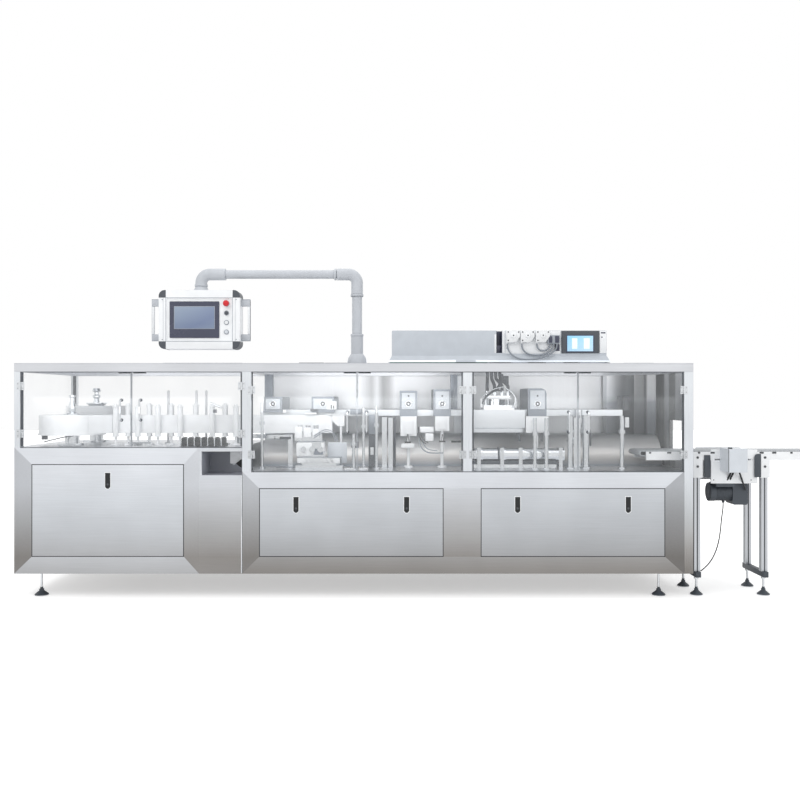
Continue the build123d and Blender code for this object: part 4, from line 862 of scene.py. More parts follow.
def make(name, bm, material, finish_slot, body="machine", hides=()):
    """Turns a drawing in millimetres into a finished piece that rides on a body."""
    bmesh.ops.recalc_face_normals(bm, faces=bm.faces)
    bmesh.ops.scale(bm, vec=(0.001, 0.001, 0.001), verts=bm.verts)
    mesh = bpy.data.meshes.new(name)
    bm.to_mesh(mesh)
    bm.free()
    mesh.materials.append(material)
    mesh.shade_smooth()
    mesh.set_sharp_from_angle(angle=sharp_angle)
    piece = bpy.data.objects.new(name, mesh)
    bpy.context.collection.objects.link(piece)
    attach(piece, body)
    if hides:
        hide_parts(*hides)
    print(name, "has", len(mesh.polygons), "faces")
    return piece


def span(node):
    """The lowest and highest corners of a solid of the frame, in millimetres."""
    low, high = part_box(node)
    return Vector(low) * 1000, Vector(high) * 1000


print("the service panels start at", [round(value) for value in span("service_panels")[0]])

# %% [markdown]
# Fine pieces stand on the frame's solids, so their places start from these: the two
# cabinets and the seam between them, the decks, the shelf that carries the stations,
# the rails over the doors and the roof.

# %% Levels and faces of the frame
infeed_low, infeed_high = span("infeed_cabinet")
main_low, main_high = span("main_cabinet")
seam_x, front_y = main_low.x, main_low.y
infeed_deck, main_deck = infeed_high.z, main_high.z
shelf_top = span("station_shelf")[1].z
rails_foot = span("top_rails")[0].z
roof_top = span("roof_plate")[1].z
print("decks at", round(infeed_deck), "and", round(main_deck), "mm, roof at", round(roof_top), "mm")

# %% [markdown]
# The service panels sit in a rubber gasket that shows as a dark line round each
# one, and both rows of panels repeat on the back. Each gasket is four strips in the
# gap between panel and surround, a little proud of the sheet.

# %% Panel gaskets
panel_openings = ((-2556, -1600, 259, 840), (-1128, 29, 259, 689), (263, 1420, 259, 689))
panel_gap = 4.6
gasket_depth = (-0.9, 14)
panels_low, panels_high = span("service_panels")
panel_rows = ((panels_low.y, 1, "front"), (panels_high.y, -1, "back"))

gaskets = bmesh.new()
for face, inwards, _ in panel_rows:
    near, far = sorted(face + inwards * depth for depth in gasket_depth)
    for x_low, x_high, z_low, z_high in panel_openings:
        bar(gaskets, (x_low, near, z_low), (x_low + panel_gap, far, z_high), 0.4, 1)
        bar(gaskets, (x_high - panel_gap, near, z_low), (x_high, far, z_high), 0.4, 1)
        bar(gaskets, (x_low, near, z_low), (x_high, far, z_low + panel_gap), 0.4, 1)
        bar(gaskets, (x_low, near, z_high - panel_gap), (x_high, far, z_high), 0.4, 1)
make("panel_gaskets", gaskets, black_rubber, "black_rubber")

# %% [markdown]
# Every panel has one or two flush latches, their lower corners cut off. A thin white
# escutcheon lies round each one: the latch's own outline, grown by the width of the
# rim. A small round key sits low in the latch.

# %% Latch plates and keys
latches = ((-2078, 786), (-896.6, 635), (-202.4, 635), (494.4, 635), (1188.6, 635))
latch_half, latch_height, latch_point = 16.5, 100, 11
plate_margin = 4
plate_proud, plate_sunk = 1.3, 1.0
key_drop, key_proud = 72, 2
key_disc = turned(((0, 0), (7, 0), (7, 1.2), (5.5, 2.0), (0, 2.0)), 16)

latch_plates = bmesh.new()
latch_keys = bmesh.new()
for face, inwards, facing in panel_rows:
    for x, top in latches:
        half, low = latch_half + plate_margin, top - latch_height - plate_margin
        point = latch_point + plate_margin / 2
        outline = (
            (x - half, top + plate_margin), (x - half, low + point), (x - half + point, low),
            (x + half - point, low), (x + half, low + point), (x + half, top + plate_margin),
        )
        plate(latch_plates, outline, face - inwards * plate_proud, face + inwards * plate_sunk, 0.5)
        put(latch_keys, key_disc, (x, face - inwards * key_proud, top - key_drop), facing)
make("latch_plates", latch_plates, white_plastic, "white_plastic")
make("latch_keys", latch_keys, dark_steel, "polished_steel")

# %% [markdown]
# Where the two cabinets meet, a bright cover strip closes the joint and runs on round
# two sides of the pocket in the infeed cabinet, where it paints the highlight on the
# pocket's edges. The strips are thin bars of polished steel that lie on the sheet.

# %% Joint strip and painted highlight strips
pocket_x, pocket_y, pocket_z = (seam_x - 252, seam_x), (front_y, front_y + 250), (772, 922)
cladding_foot = main_low.z + 3
strip_width = 5
strip_back = front_y + 0.5
strip_front = front_y - 1.4

joint_and_highlight_strip = bmesh.new()
bar(joint_and_highlight_strip, (seam_x - strip_width, front_y - 2, cladding_foot),
    (seam_x + 1, strip_back, pocket_z[0] - 1), 0.8)
bar(joint_and_highlight_strip, (pocket_x[0] - strip_width, strip_front, pocket_z[1]),
    (seam_x, strip_back, pocket_z[1] + strip_width), 0.6)
bar(joint_and_highlight_strip, (pocket_x[0] - strip_width, strip_front, pocket_z[0]),
    (pocket_x[0], strip_back, pocket_z[1]), 0.6)
make("bright_joint_and_highlight_strips", joint_and_highlight_strip, chrome, "polished_steel")

# %% [markdown]
# A dark sealing bead lies beside the joint strip. Dark beads also lie under the
# doors, along the front edge of both decks, and over them, along the foot of the top
# rails; they paint the shadow in the gaps under and over the doors. Each one runs from
# the end of its bay to the post between the cabinets.

# %% Joint seal and painted shadow lines
corner_post, middle_post = 38, 58
shadow_line_front = front_y - 1.2
infeed_deck_shadow_line = (infeed_deck - 4.5, infeed_deck)
main_deck_shadow_line = (main_deck - 5.5, main_deck - 0.5)
rail_shadow_line = (rails_foot - 3.5, rails_foot + 0.5)
infeed_run = (infeed_low.x + corner_post, seam_x)
main_run = (seam_x + middle_post, span("bed_cover")[1].x)

seals = bmesh.new()
bar(seals, (seam_x + 1.2, front_y - 0.8, cladding_foot),
    (seam_x + 3.4, strip_back, main_deck - 1), 0.3, 1)
for run, level in (
    (infeed_run, infeed_deck_shadow_line), (main_run, main_deck_shadow_line),
    (infeed_run, rail_shadow_line), (main_run, rail_shadow_line),
):
    bar(seals, (run[0], shadow_line_front, level[0]), (run[1], strip_back, level[1]), 0.5, 1)
make("deck_joint_seal_and_shadow_lines", seals, dark_grey_plastic, "black_rubber")

# %% [markdown]
# The pocket at the infeed cabinet's upper right corner is lined with thin enamelled
# sheet on its left, back, floor and top. In it hang a pale block, with a strip and a
# short round stub, that paints a patch of light, and a black lever on a round boss.

# %% The pocket
liner = 1.5
lined_low = (pocket_x[0], pocket_y[0] + 0.5, pocket_z[0])
lined_high = (pocket_x[1] - 1, pocket_y[1], pocket_z[1])
pocket = blocks({
    "left side": (lined_low, (lined_low[0] + liner, lined_high[1], lined_high[2])),
    "back": ((lined_low[0], lined_high[1] - liner, lined_low[2]), lined_high),
    "floor": (lined_low, (lined_high[0], lined_high[1], lined_low[2] + liner)),
    "top": ((lined_low[0], lined_low[1], lined_high[2] - liner), lined_high),
}, 0.3, 1)
make("pocket_liner", pocket, tray_paint, "grey_paint")

# A painted patch of light, drawn as a pale block with a strip and a short round stub.
sensor = bmesh.new()
housing = ((-1330, -350, 836), (-1262, -276, 920.5))
light_patch_strip = ((-1322, -353, 900), (-1270, -349, 914))
gland = ((-1312, -312, 838), (-1312, -312, 826))
bar(sensor, *housing, 5, 3)
bar(sensor, *light_patch_strip, 1.5)
rod(sensor, *gland, 18, 2)
make("pocket_light_patch", sensor, white_plastic, "grey_paint")

lever = bmesh.new()
lever_outline = ((-1236, 868), (-1262, 862), (-1292, 838), (-1262, 814), (-1236, 806))
lever_y, boss = (-360, -351), ((-1274, -366, 838), (-1274, -350, 838))
plate(lever, lever_outline, *lever_y, 2)
rod(lever, *boss, 20, 2)
make("pocket_lever", lever, black_plastic, "black_plastic")

# %% [markdown]
# Every clear door has a dark seal along its hinge edge, which also paints the shadow in
# the gap there; on the first door it is thicker and also paints the shadow beside the
# left post. A narrow bright profile along its free edge also paints the highlight on
# that edge. Black washers sit under the ends of its handle, and screws hold the hinge
# leaves. What lies on the door rides on it, so that it swings with it, and the leaves'
# outer screws stay with the machine.

# %% Door trims
hinge_levels = {"infeed": (1330, 1033), "sealing": (1305, 902), "filling": (1305, 902)}
handle_levels = {"infeed": 1180, "sealing": 1105, "filling": 1105}
handle_places = {
    "infeed_door_left": -1985, "infeed_door_right": -1865, "sealing_door_left": -572,
    "sealing_door_right": -452, "filling_door_left": 810, "filling_door_right": 930,
}
handle_half = 62.5
hinge_front = -475
pin_inset, leaf_reach, screw_half = 1.5, 14.5, 14
machine_screws = bmesh.new()
for door in doors:
    bay, _, side = door.partition("_door_")
    low, high = span(door)
    seal_and_shadow_width = 13 if door == "infeed_door_left" else 6
    hinge_edge, free_edge = (low.x, high.x) if side == "left" else (high.x, low.x)
    inwards = 1 if side == "left" else -1
    seal = bmesh.new()
    near, far = sorted((hinge_edge - inwards * 0.5, hinge_edge + inwards * seal_and_shadow_width))
    bar(seal, (near, low.y - 1.6, low.z + 1), (far, high.y + 1.6, high.z - 1), 1.0)
    for step in (-handle_half, handle_half):
        put(seal, washer, (handle_places[door], low.y, handle_levels[bay] + step), "front")
    make(door + "_seal", seal, dark_grey_plastic, "black_rubber", door)
    edge = bmesh.new()
    near, far = sorted((free_edge - inwards * 3.5, free_edge + inwards * 0.3))
    bar(edge, (near, low.y - 0.8, low.z + 1), (far, high.y + 0.8, high.z - 1), 0.6)
    axis = hinge_edge - inwards * pin_inset
    for level in hinge_levels[bay]:
        for step in (-screw_half, screw_half):
            door_x, post_x = axis + inwards * leaf_reach, axis - inwards * leaf_reach
            put(edge, screw_head, (door_x, hinge_front, level + step), "front")
            put(machine_screws, screw_head, (post_x, hinge_front, level + step), "front")
    make(door + "_edge", edge, satin, "polished_steel", door)
make("hinge_screws", machine_screws, satin, "polished_steel")

# %% [markdown]
# A lit screen is cover glass over a glowing panel. Its picture is drawn as a soft
# slanted change between two tones that the glass shows and also gives off, and a
# faint haze in the gloss stands for finger marks.

# %% Screen glass
smear_size = 60
smear_gloss = {"To Min": 0.08, "To Max": 0.22}
picture_slant = {"operation": "DOT_PRODUCT", 1: (1.6, 0.0, -3.2)}


def screen_glass(name, low_tone, high_tone, glow):
    """The glass of a lit screen, its colour changing from corner to corner."""
    material, tree, shader = new_material(name)
    place = add(tree, "TexCoord").outputs["Object"]
    slant = add(tree, "VectorMath", picture_slant, {0: place})
    wave = add(tree, "Math", {"operation": "PINGPONG", 1: 1.0}, {0: slant.outputs["Value"]})
    tone = add(tree, "ValToRGB", {}, {0: wave.outputs[0]})
    tone.color_ramp.elements[0].color = linear(low_tone)
    tone.color_ramp.elements[1].color = linear(high_tone)
    haze = add(tree, "TexNoise", {"Scale": per_mm(smear_size), "Detail": 2.0}, {"Vector": place})
    gloss = add(tree, "MapRange", smear_gloss, {"Value": haze.outputs[0]})
    tree.links.new(tone.outputs[0], shader.inputs["Base Color"])
    tree.links.new(tone.outputs[0], shader.inputs["Emission Color"])
    tree.links.new(gloss.outputs[0], shader.inputs["Roughness"])
    shader.inputs["Emission Strength"].default_value = glow
    shader.inputs["IOR"].default_value = 1.52
    return material


# Soda-lime cover glass over a dimmed panel: a clear grey-blue.
touch_glass = screen_glass("dimmed touch screen glass", "#73809c", "#9aa8b4", 0.08)
# The same glass over a brightly lit panel, and over its white fields.
lit_glass = screen_glass("lit display glass", "#86c4e8", "#dff0fa", 0.22)
white_glass = screen_glass("white display field", "#dcebf5", "#f4fafd", 0.30)
print("screens", [item.name for item in (touch_glass, lit_glass, white_glass)])

# %% [markdown]
# The operator panel's slate bezel holds the touch screen. The screen lies a little
# above the bezel's middle, and a thin grey rim frames it. Both are thin plates on the
# bezel's face, and they ride on the operator station.

# %% Touch screen
display_low, display_high = span("panel_display")
middle_x, middle_z = (display_low.x + display_high.x) / 2, (display_low.z + display_high.z) / 2
screen_half, screen_below, screen_above = 128, 57, 83
screen_x = (middle_x - screen_half, middle_x + screen_half)
screen_z = (middle_z - screen_below, middle_z + screen_above)
rim_width = 3

screen = bmesh.new()
bar(screen, (screen_x[0], display_low.y - 1.0, screen_z[0]),
    (screen_x[1], display_low.y + 1, screen_z[1]), 0.4)
make("touch_screen", screen, touch_glass, "black_plastic", "operator_station")
screen_rim = bmesh.new()
bar(screen_rim, (screen_x[0] - rim_width, display_low.y - 0.6, screen_z[0] - rim_width),
    (screen_x[1] + rim_width, display_low.y + 1, screen_z[1] + rim_width), 0.4)
make("touch_screen_rim", screen_rim, grey_plastic, "black_plastic", "operator_station")

# %% [markdown]
# Beside the screen stand a red mushroom stop, a black selector, a white key and a
# grey key, one under the other. Each is spun from the outline of the real one and
# turned to the front. The selector's grip is a lozenge-shaped plate on its cap.

# %% Buttons
buttons_low, buttons_high = span("panel_buttons")
button_x, button_y = (buttons_low.x + buttons_high.x) / 2, buttons_high.y
stop_level, selector_level, white_level, grey_level = 1862, 1801, 1740, 1679
grip_high, grip_wide = 14, 12
grip_front, grip_back = button_y - 18, button_y - 7

stop_cap = turned((
    (0, 3), (12, 3), (12, 13), (19, 14.5), (20, 18), (18.5, 24), (11, 28), (0, 29.5),
))
collar = turned(((0, 0), (19, 0), (19, 2), (17, 3.4), (0, 3.4)))
small_collar = turned(((0, 0), (16, 0), (16, 3), (14, 5), (11.6, 5), (11.6, 3.6), (0, 3.6)))
small_cap = turned(((0, 3.6), (11.2, 3.6), (11.2, 6.4), (9.5, 7.6), (0, 7.6)))

on_the_station = {"body": "operator_station", "hides": ["panel_buttons"]}
stop = bmesh.new()
put(stop, stop_cap, (button_x, button_y, stop_level), "front")
make("stop_button", stop, red_plastic, "red_plastic", **on_the_station)
collars = bmesh.new()
put(collars, collar, (button_x, button_y, stop_level), "front")
for level in (selector_level, white_level, grey_level):
    put(collars, small_collar, (button_x, button_y, level), "front")
make("button_collars", collars, grey_plastic, "black_plastic", **on_the_station)
selector = bmesh.new()
put(selector, small_cap, (button_x, button_y, selector_level), "front")
plate(selector, (
    (button_x, selector_level + grip_high), (button_x + grip_wide, selector_level),
    (button_x, selector_level - grip_high), (button_x - grip_wide, selector_level),
), grip_front, grip_back, 2)
make("selector_knob", selector, dark_grey_plastic, "black_plastic", **on_the_station)
for key_name, level, finish, finish_slot in (
    ("white_key", white_level, white_plastic, "white_plastic"),
    ("grey_key", grey_level, cover_paint, "grey_paint"),
):
    key = bmesh.new()
    put(key, small_cap, (button_x, button_y, level), "front")
    make(key_name, key, finish, finish_slot, **on_the_station)

# %% [markdown]
# At each side of the panel a white grip bar stands between two grey brackets, which
# reach from the housing to the outer edge of the handle.

# %% Grips of the operator panel
panel_low, panel_high = span("operator_panel")
grips_low, grips_high = span("panel_handles")
grip_y = (grips_low.y - 1, grips_high.y + 1)
bracket_height, grip_width = 42, 16
bracket_levels = (grips_low.z + 2, grips_high.z - 46)
grip_levels = (bracket_levels[0] + bracket_height, bracket_levels[1])

brackets = bmesh.new()
grips = bmesh.new()
for outer, inner in ((grips_low.x, panel_low.x), (grips_high.x, panel_high.x)):
    near, far = sorted((outer, inner))
    for level in bracket_levels:
        bar(brackets, (near, grip_y[0], level), (far, grip_y[1], level + bracket_height), 3)
    near, far = sorted((outer, outer + (grip_width if outer < inner else -grip_width)))
    bar(grips, (near, grip_y[0], grip_levels[0]), (far, grip_y[1], grip_levels[1]), 4, 3)
make("grip_brackets", brackets, arm_paint, "grey_paint", "operator_station")
make("grip_bars", grips, white_plastic, "white_plastic", "operator_station")

# %% [markdown]
# The housing is folded from sheet and closed with corner pieces. Narrow dark seams
# show where its front lies on the frame, with a finer line at each side and a screw
# in each corner.

# %% Seams of the operator panel
panel_face = panel_low.y
seam_front, line_front, seam_back = panel_face - 0.9, panel_face - 0.7, panel_face + 1
rim_inset = (46, 49)
rim_x = (panel_low.x + rim_inset[0], panel_high.x - rim_inset[0])
rim_z = (panel_low.z + rim_inset[1], panel_high.z - rim_inset[1])
seam_half, fine_half = 1.5, 0.8
side_line, corner_screw, screw_step = 17, 23, 12

seams = bmesh.new()
for x in rim_x:
    bar(seams, (x - seam_half, seam_front, rim_z[0]), (x + seam_half, seam_back, rim_z[1]), 0.3, 1)
for z in rim_z:
    bar(seams, (rim_x[0], seam_front, z - seam_half), (rim_x[1], seam_back, z + seam_half), 0.3, 1)
for x in (rim_x[0] - side_line, rim_x[1] + side_line):
    bar(seams, (x - fine_half, line_front, rim_z[0]), (x + fine_half, seam_back, rim_z[1]), 0.2, 1)
for x in (panel_low.x + corner_screw, panel_high.x - corner_screw):
    for z in (rim_z[0] + screw_step, rim_z[1] - screw_step):
        put(seams, screw_head, (x, panel_face, z), "front")
make("panel_seams", seams, grey_plastic, "black_rubber", "operator_station")

# %% [markdown]
# The arm's tubes end in clamped collars, each with a dark joint beside it. The
# collars are short spun rings, a little wider than the elbow that they hold.

# %% Arm collars
base_low, base_high = span("arm_base")
arm_axis = ((base_low.x + base_high.x) / 2, (base_low.y + base_high.y) / 2)
panel_axis = ((panel_low.x + panel_high.x) / 2, (panel_low.y + panel_high.y) / 2)
arm_level = span("support_arm")[1].z - 38
base_joint_level, panel_joint_level = roof_top + 182, panel_high.z + 30
elbow_reach, far_elbow_reach = 134, 146
elbow_drop, joint_height = 142, 2.4
ring = turned(((36, 0), (41, 0), (42, 1.5), (42, 11), (41, 12.5), (36, 12.5), (36, 0)))
level_ring = turned(((26, 0), (37, 0), (37.9, 1.5), (37.9, 11), (37, 12.5), (26, 12.5), (26, 0)))
dark_ring = turned(((36, 0), (39.4, 0), (39.4, joint_height), (36, joint_height), (36, 0)))

arm_rings, arm_gaps = bmesh.new(), bmesh.new()
for x, facing in ((panel_axis[0] + far_elbow_reach, "right"), (arm_axis[0] - elbow_reach, "left")):
    put(arm_rings, level_ring, (x, arm_axis[1], arm_level), facing)
for axis, level in (
    (arm_axis, arm_level - elbow_drop), (arm_axis, base_joint_level), (panel_axis, panel_joint_level),
):
    put(arm_rings, ring, (*axis, level))
    put(arm_gaps, dark_ring, (*axis, level - joint_height))
make("arm_collars", arm_rings, arm_paint, "grey_paint", "support_arm")
make("arm_joints", arm_gaps, grey_plastic, "black_rubber", "support_arm")

# %% [markdown]
# The pump unit lies on a green rubber gasket, which runs on to the right as short
# black pieces. Behind the joint of its housing a dark liner closes the slot.

# %% Pump gaskets and slot
pump_low = span("pump_housing")[0]
gasket_foot, long_top, short_top = roof_top + 0.2, roof_top + 12, roof_top + 10
gasket_y = (pump_low.y - 1.2, pump_low.y + 24)
long_run = (pump_low.x + 11, 318)
short_runs = ((334, 472), (584, 698), (812, 917), (1078, 1112))

long_gasket = bmesh.new()
bar(long_gasket, (long_run[0], gasket_y[0], gasket_foot), (long_run[1], gasket_y[1], long_top), 1.0)
make("long_gasket", long_gasket, gasket_rubber, "black_rubber")
short_gaskets = bmesh.new()
for start, end in short_runs:
    bar(short_gaskets, (start, gasket_y[0], gasket_foot), (end, gasket_y[1], short_top), 1.0)
make("short_gaskets", short_gaskets, black_rubber, "black_rubber")

slot_back, slot_front = -211, -268
slot = bmesh.new()
bar(slot, (381, -213, 1548), (417, -210.5, 1692), 0.5)
for low, high in {
    "left side": ((380.2, slot_front, 1547.4), (382, slot_back, 1692)),
    "right side": ((416, slot_front, 1547.4), (417.8, slot_back, 1692)),
    "floor": ((381, slot_front, 1547.4), (417, slot_back, 1549)),
}.values():
    bar(slot, low, high, 0.4)
make("slot_liner", slot, bezel_plastic, "black_plastic")

# %% [markdown]
# The front of the pump unit has a pale face plate behind the pump heads, narrow
# plates beside the slot, and one more at the right end. They are powder coated, so
# their edges are a little rounder than those of bare sheet.

# %% Pump face
plate_back = -269.5
face_plates = {
    "right of the slot": ((418.5, -272.6, 1546), (436, plate_back, 1691.5), 1.2),
    "left of the slot": ((368, -271.8, 1546), (379.5, plate_back, 1668), 1.2),
    "behind the heads": ((439, -271.4, 1543), (796, plate_back, 1690), 3),
    "right end": ((1048, -273.5, 1546), (1092, plate_back, 1690), 2.5),
}
pump_face = bmesh.new()
for low, high, edge in face_plates.values():
    bar(pump_face, low, high, edge)
make("pump_face", pump_face, panel_paint, "grey_paint")

# %% [markdown]
# Three white pump heads press the hoses with rollers. Each is a shield-shaped cover
# that narrows towards the hose, with a hub and a screw over its rotor, three screws
# round it and a short neck from which the hose leaves.

# %% Pump heads
head_middles = (487, 580, 678)
cover_top, cover_foot, rotor_level = 1690, 1614, 1659
cover_front, cover_back = -302, -270.5
neck_place, neck_levels = (-38, -283), (1628, 1608)
rotor_hub = turned(((0, 0), (17, 0), (17, 3), (15, 5.5), (6, 6), (0, 6)))
hub_screw = turned(((0, 0), (4.6, 0), (4.4, 1.6), (0, 1.8)), 12)

heads, hubs, screws = bmesh.new(), bmesh.new(), bmesh.new()
for x in head_middles:
    outline = (
        (x - 46, cover_top), (x + 40, cover_top), (x + 44, cover_top - 4), (x + 44, 1652),
        (x + 16, cover_foot), (x - 46, cover_foot),
    )
    plate(heads, outline, cover_front, cover_back, 3.5)
    put(hubs, rotor_hub, (x, cover_front, rotor_level), "front")
    put(screws, hub_screw, (x, cover_front - 5.8, rotor_level), "front")
    for step_x, step_z in ((-34, 22), (34, 22), (-34, -32)):
        put(screws, hub_screw, (x + step_x, cover_front, rotor_level + step_z), "front")
    neck_x, neck_y = x + neck_place[0], neck_place[1]
    rod(hubs, (neck_x, neck_y, neck_levels[0]), (neck_x, neck_y, neck_levels[1]), 16, 1.5)
make("pump_covers", heads, white_plastic, "white_plastic", hides=["pump_heads"])
make("pump_hubs", hubs, panel_paint, "white_plastic", hides=["pump_heads"])
make("pump_screws", screws, dark_steel, "polished_steel", hides=["pump_heads"])

# %% [markdown]
# The three hoses end in one grey port with three short necks. Small dark details lie
# on and below it: two windows, a label holder, a vent at the unit's right end and two
# screws.

# %% Hose port and dark details
port_necks = (724, 747, 770)
port = bmesh.new()
bar(port, (708, -296, 1606), (788, -270.5, 1662), 4)
for x in port_necks:
    rod(port, (x, neck_place[1], 1612), (x, neck_place[1], 1600), 15, 1.5)
make("hose_port", port, grey_plastic, "grey_paint", hides=["pump_heads"])

dark_details = {
    "left window": ((716, -298, 1612), (738, -295, 1654), 1.5),
    "right window": ((756, -298, 1612), (782, -295, 1656), 1.5),
    "label holder": ((757, -272.6, 1560), (790, -270.8, 1604), 1.0),
    "vent": ((1057, -275.2, 1674), (1086, -273, 1682), 1.0),
}
details = bmesh.new()
for low, high, edge in dark_details.values():
    bar(details, low, high, edge)
for place in ((450, -271.4, 1580), (1063, -273.5, 1650)):
    put(details, hub_screw, place, "front")
make("pump_dark_details", details, bezel_plastic, "black_plastic")

# %% [markdown]
# The pump's own display is built up in three thin layers on its bezel: a dark mask,
# the lit glass, and two white fields that glow a little more.

# %% Small display
shown_front = span("pump_display")[0].y
make("display_mask", blocks({
    "mask": ((830, shown_front - 0.6, 1551), (1012, shown_front + 1, 1665)),
}, 0.5), bezel_plastic, "black_plastic")
make("display_glass", blocks({
    "glass": ((837, shown_front - 1.2, 1558), (1004, shown_front + 1, 1658)),
}, 0.4), lit_glass, "black_plastic")
make("display_fields", blocks({
    "left field": ((868, shown_front - 1.6, 1574), (902, shown_front, 1642)),
    "right field": ((944, shown_front - 1.6, 1574), (982, shown_front, 1642)),
}, 0.3), white_glass, "white_plastic")

# %% [markdown]
# The conveyor's belt is a chain of moulded slats on a dark wear bed. One slat is
# drawn, then copied along the top, turned round the ends and along the bottom. The
# slats that are turned round an end are narrower, so that they clear each other.

# %% Slat belt
belt_low, belt_high = span("conveyor_belt")
slat_thickness, slat_gap, slat_count = 6, 1.2, 44
end_slat_half = 4.1
end_radius = (belt_high.z - belt_low.z) / 2
belt_level = (belt_high.z + belt_low.z) / 2
end_reach = 18.1
straight = (belt_low.x + end_reach, belt_high.x - end_reach)
slat_pitch = (straight[1] - straight[0]) / slat_count
end_turns = range(30, 180, 30)


def copy_round(bm, half_width, stations):
    """Copies a slat to stations, each a place along the belt and a turn in degrees."""
    slat = blocks({"slat": (
        (-half_width, belt_low.y, end_radius - slat_thickness), (half_width, belt_high.y, end_radius),
    )}, 1.2)
    slat_mesh = bpy.data.meshes.new("slat")
    slat.to_mesh(slat_mesh)
    slat.free()
    for x, turn in stations:
        copied = slat_mesh.copy()
        stand = Matrix.Translation((x, 0, belt_level))
        copied.transform(stand @ Matrix.Rotation(math.radians(turn), 4, "Y"))
        bm.from_mesh(copied)
        bpy.data.meshes.remove(copied)
    bpy.data.meshes.remove(slat_mesh)


chain = bmesh.new()
middles = [straight[0] + (index + 0.5) * slat_pitch for index in range(slat_count)]
copy_round(chain, slat_pitch / 2 - slat_gap, [(x, turn) for x in middles for turn in (0, 180)])
copy_round(chain, end_slat_half, [(straight[0], -turn) for turn in end_turns])
copy_round(chain, end_slat_half, [(straight[1], turn) for turn in end_turns])
make("slat_belt", chain, belt_plastic, "belt_plastic", hides=["conveyor_belt"])

# %% [markdown]
# The slats slide on two black wear strips, which show as a dark line through the
# gaps. They run between the slats' upper and lower run, with a little room to both.

# %% Wear bed
strip_room, bed_strip_width = 7, 40
bed_low, bed_high = belt_low.z + strip_room, belt_high.z - strip_room
wear_bed = bmesh.new()
for y in (belt_low.y + 22, belt_high.y - 62):
    bar(wear_bed, (straight[0], y, bed_low), (straight[1], y + bed_strip_width, bed_high), 4)
make("belt_bed", wear_bed, black_plastic, "black_plastic", hides=["conveyor_belt"])

# %% [markdown]
# The rails carry white plates with dark bolts over each pair of legs, small screws
# under the drive plate and a row of dark clips for the guide rails. A black duct
# leads the cable up the first leg.

# %% Rail bolts, clips and duct
frame_low, frame_high = span("conveyor_frame")
legs_low, legs_high = span("conveyor_legs")
rail_inset, column_inset, row_inset = 11, 20, 42
rail_front, rail_back = frame_low.y + rail_inset, frame_high.y - rail_inset
leg_columns = (
    legs_low.x + column_inset, (legs_low.x + legs_high.x) / 2, legs_high.x - column_inset,
)
leg_rows = (legs_low.y + row_inset, legs_high.y - row_inset)
plate_thickness = 6
bolt_levels, screw_columns, screw_level = (820, 877.5), (1752, 1838, 1990), 734
clip_count, clip_start, clip_pitch, clip_shift = 13, 1340, 98, 18
clip_length, clip_proud, clip_height, clip_extra = 14, 3, 11, 12
clip_level = 902
bolt_cap = turned(((0, 0), (7.6, 0), (7.4, 4.6), (6, 6), (0, 6)), 18)

bolts = bmesh.new()
for face, facing, outwards in ((rail_front, "front", -1), (rail_back, "back", 1)):
    for x in leg_columns:
        for z in bolt_levels:
            put(bolts, bolt_cap, (x, face + outwards * plate_thickness, z), facing)
    for x in screw_columns:
        put(bolts, screw_head, (x, face, screw_level), facing)
    near, far = sorted((face - outwards * 0.5, face + outwards * clip_proud))
    for index in range(clip_count):
        x = clip_start + index * clip_pitch + (clip_shift if index % 2 else 0)
        clip_end = x + clip_length + (clip_extra if index % 3 else 0)
        bar(bolts, (x, near, clip_level), (clip_end, far, clip_level + clip_height), 1.2, 1)
make("conveyor_bolts", bolts, dark_steel, "polished_steel")
cable_duct = blocks({"duct on the first leg": ((1612, -366, 153), (1627.5, -334, 893))}, 1.5)
make("cable_duct", cable_duct, black_plastic, "black_plastic")

# %% [markdown]
# Beside the gear cover stand a dark strip and a dark bracket with cut corners. The
# legs are slotted aluminium profiles. Black strips close their slots, and a sleeve
# wraps the crossbar at the foot of each pair.

# %% Guides, sleeves and slot strips
bracket_outline = ((2008, 752), (2050, 752), (2050, 900), (2022, 900), (2012, 893), (2008, 880))
bracket_y = (frame_low.y, frame_low.y + 4.6)
guides = blocks({"dark strip": ((1690, -377, 750), (1730, -368, 893))}, 3)
plate(guides, bracket_outline, *bracket_y, 1.5)
make("chain_guides", guides, motor_paint, "black_plastic")

sleeve_half = 17.5
sleeve_y = (legs_low.y - 1, legs_high.y + 1)
sleeve_levels = (legs_low.z - 1.5, legs_low.z + 35)
strip_step, strip_half, strip_depth = 16.5, 3.2, 1.2
strip_top = legs_high.z - 2
slot_strips = (
    (-strip_step, 0, strip_depth, strip_half), (strip_step, 0, strip_depth, strip_half),
    (0, -strip_step, strip_half, strip_depth), (0, strip_step, strip_half, strip_depth),
)
sleeves, inserts = bmesh.new(), bmesh.new()
for x in leg_columns:
    bar(sleeves, (x - sleeve_half, sleeve_y[0], sleeve_levels[0]),
        (x + sleeve_half, sleeve_y[1], sleeve_levels[1]), 3)
    for y in leg_rows:
        for step_x, step_y, wide, deep in slot_strips:
            low = (x + step_x - wide, y + step_y - deep, sleeve_levels[1])
            high = (x + step_x + wide, y + step_y + deep, strip_top)
            bar(inserts, low, high, 0.3, 1)
make("crossbar_sleeves", sleeves, motor_paint, "black_plastic")
make("leg_inserts", inserts, dark_grey_plastic, "black_plastic")

# %% [markdown]
# The gear motor is a cast housing with cooling fins and a slotted fan cover. The fins
# are spun rings, put along the motor's axis at one pitch, and four screws hold the
# gear's end.

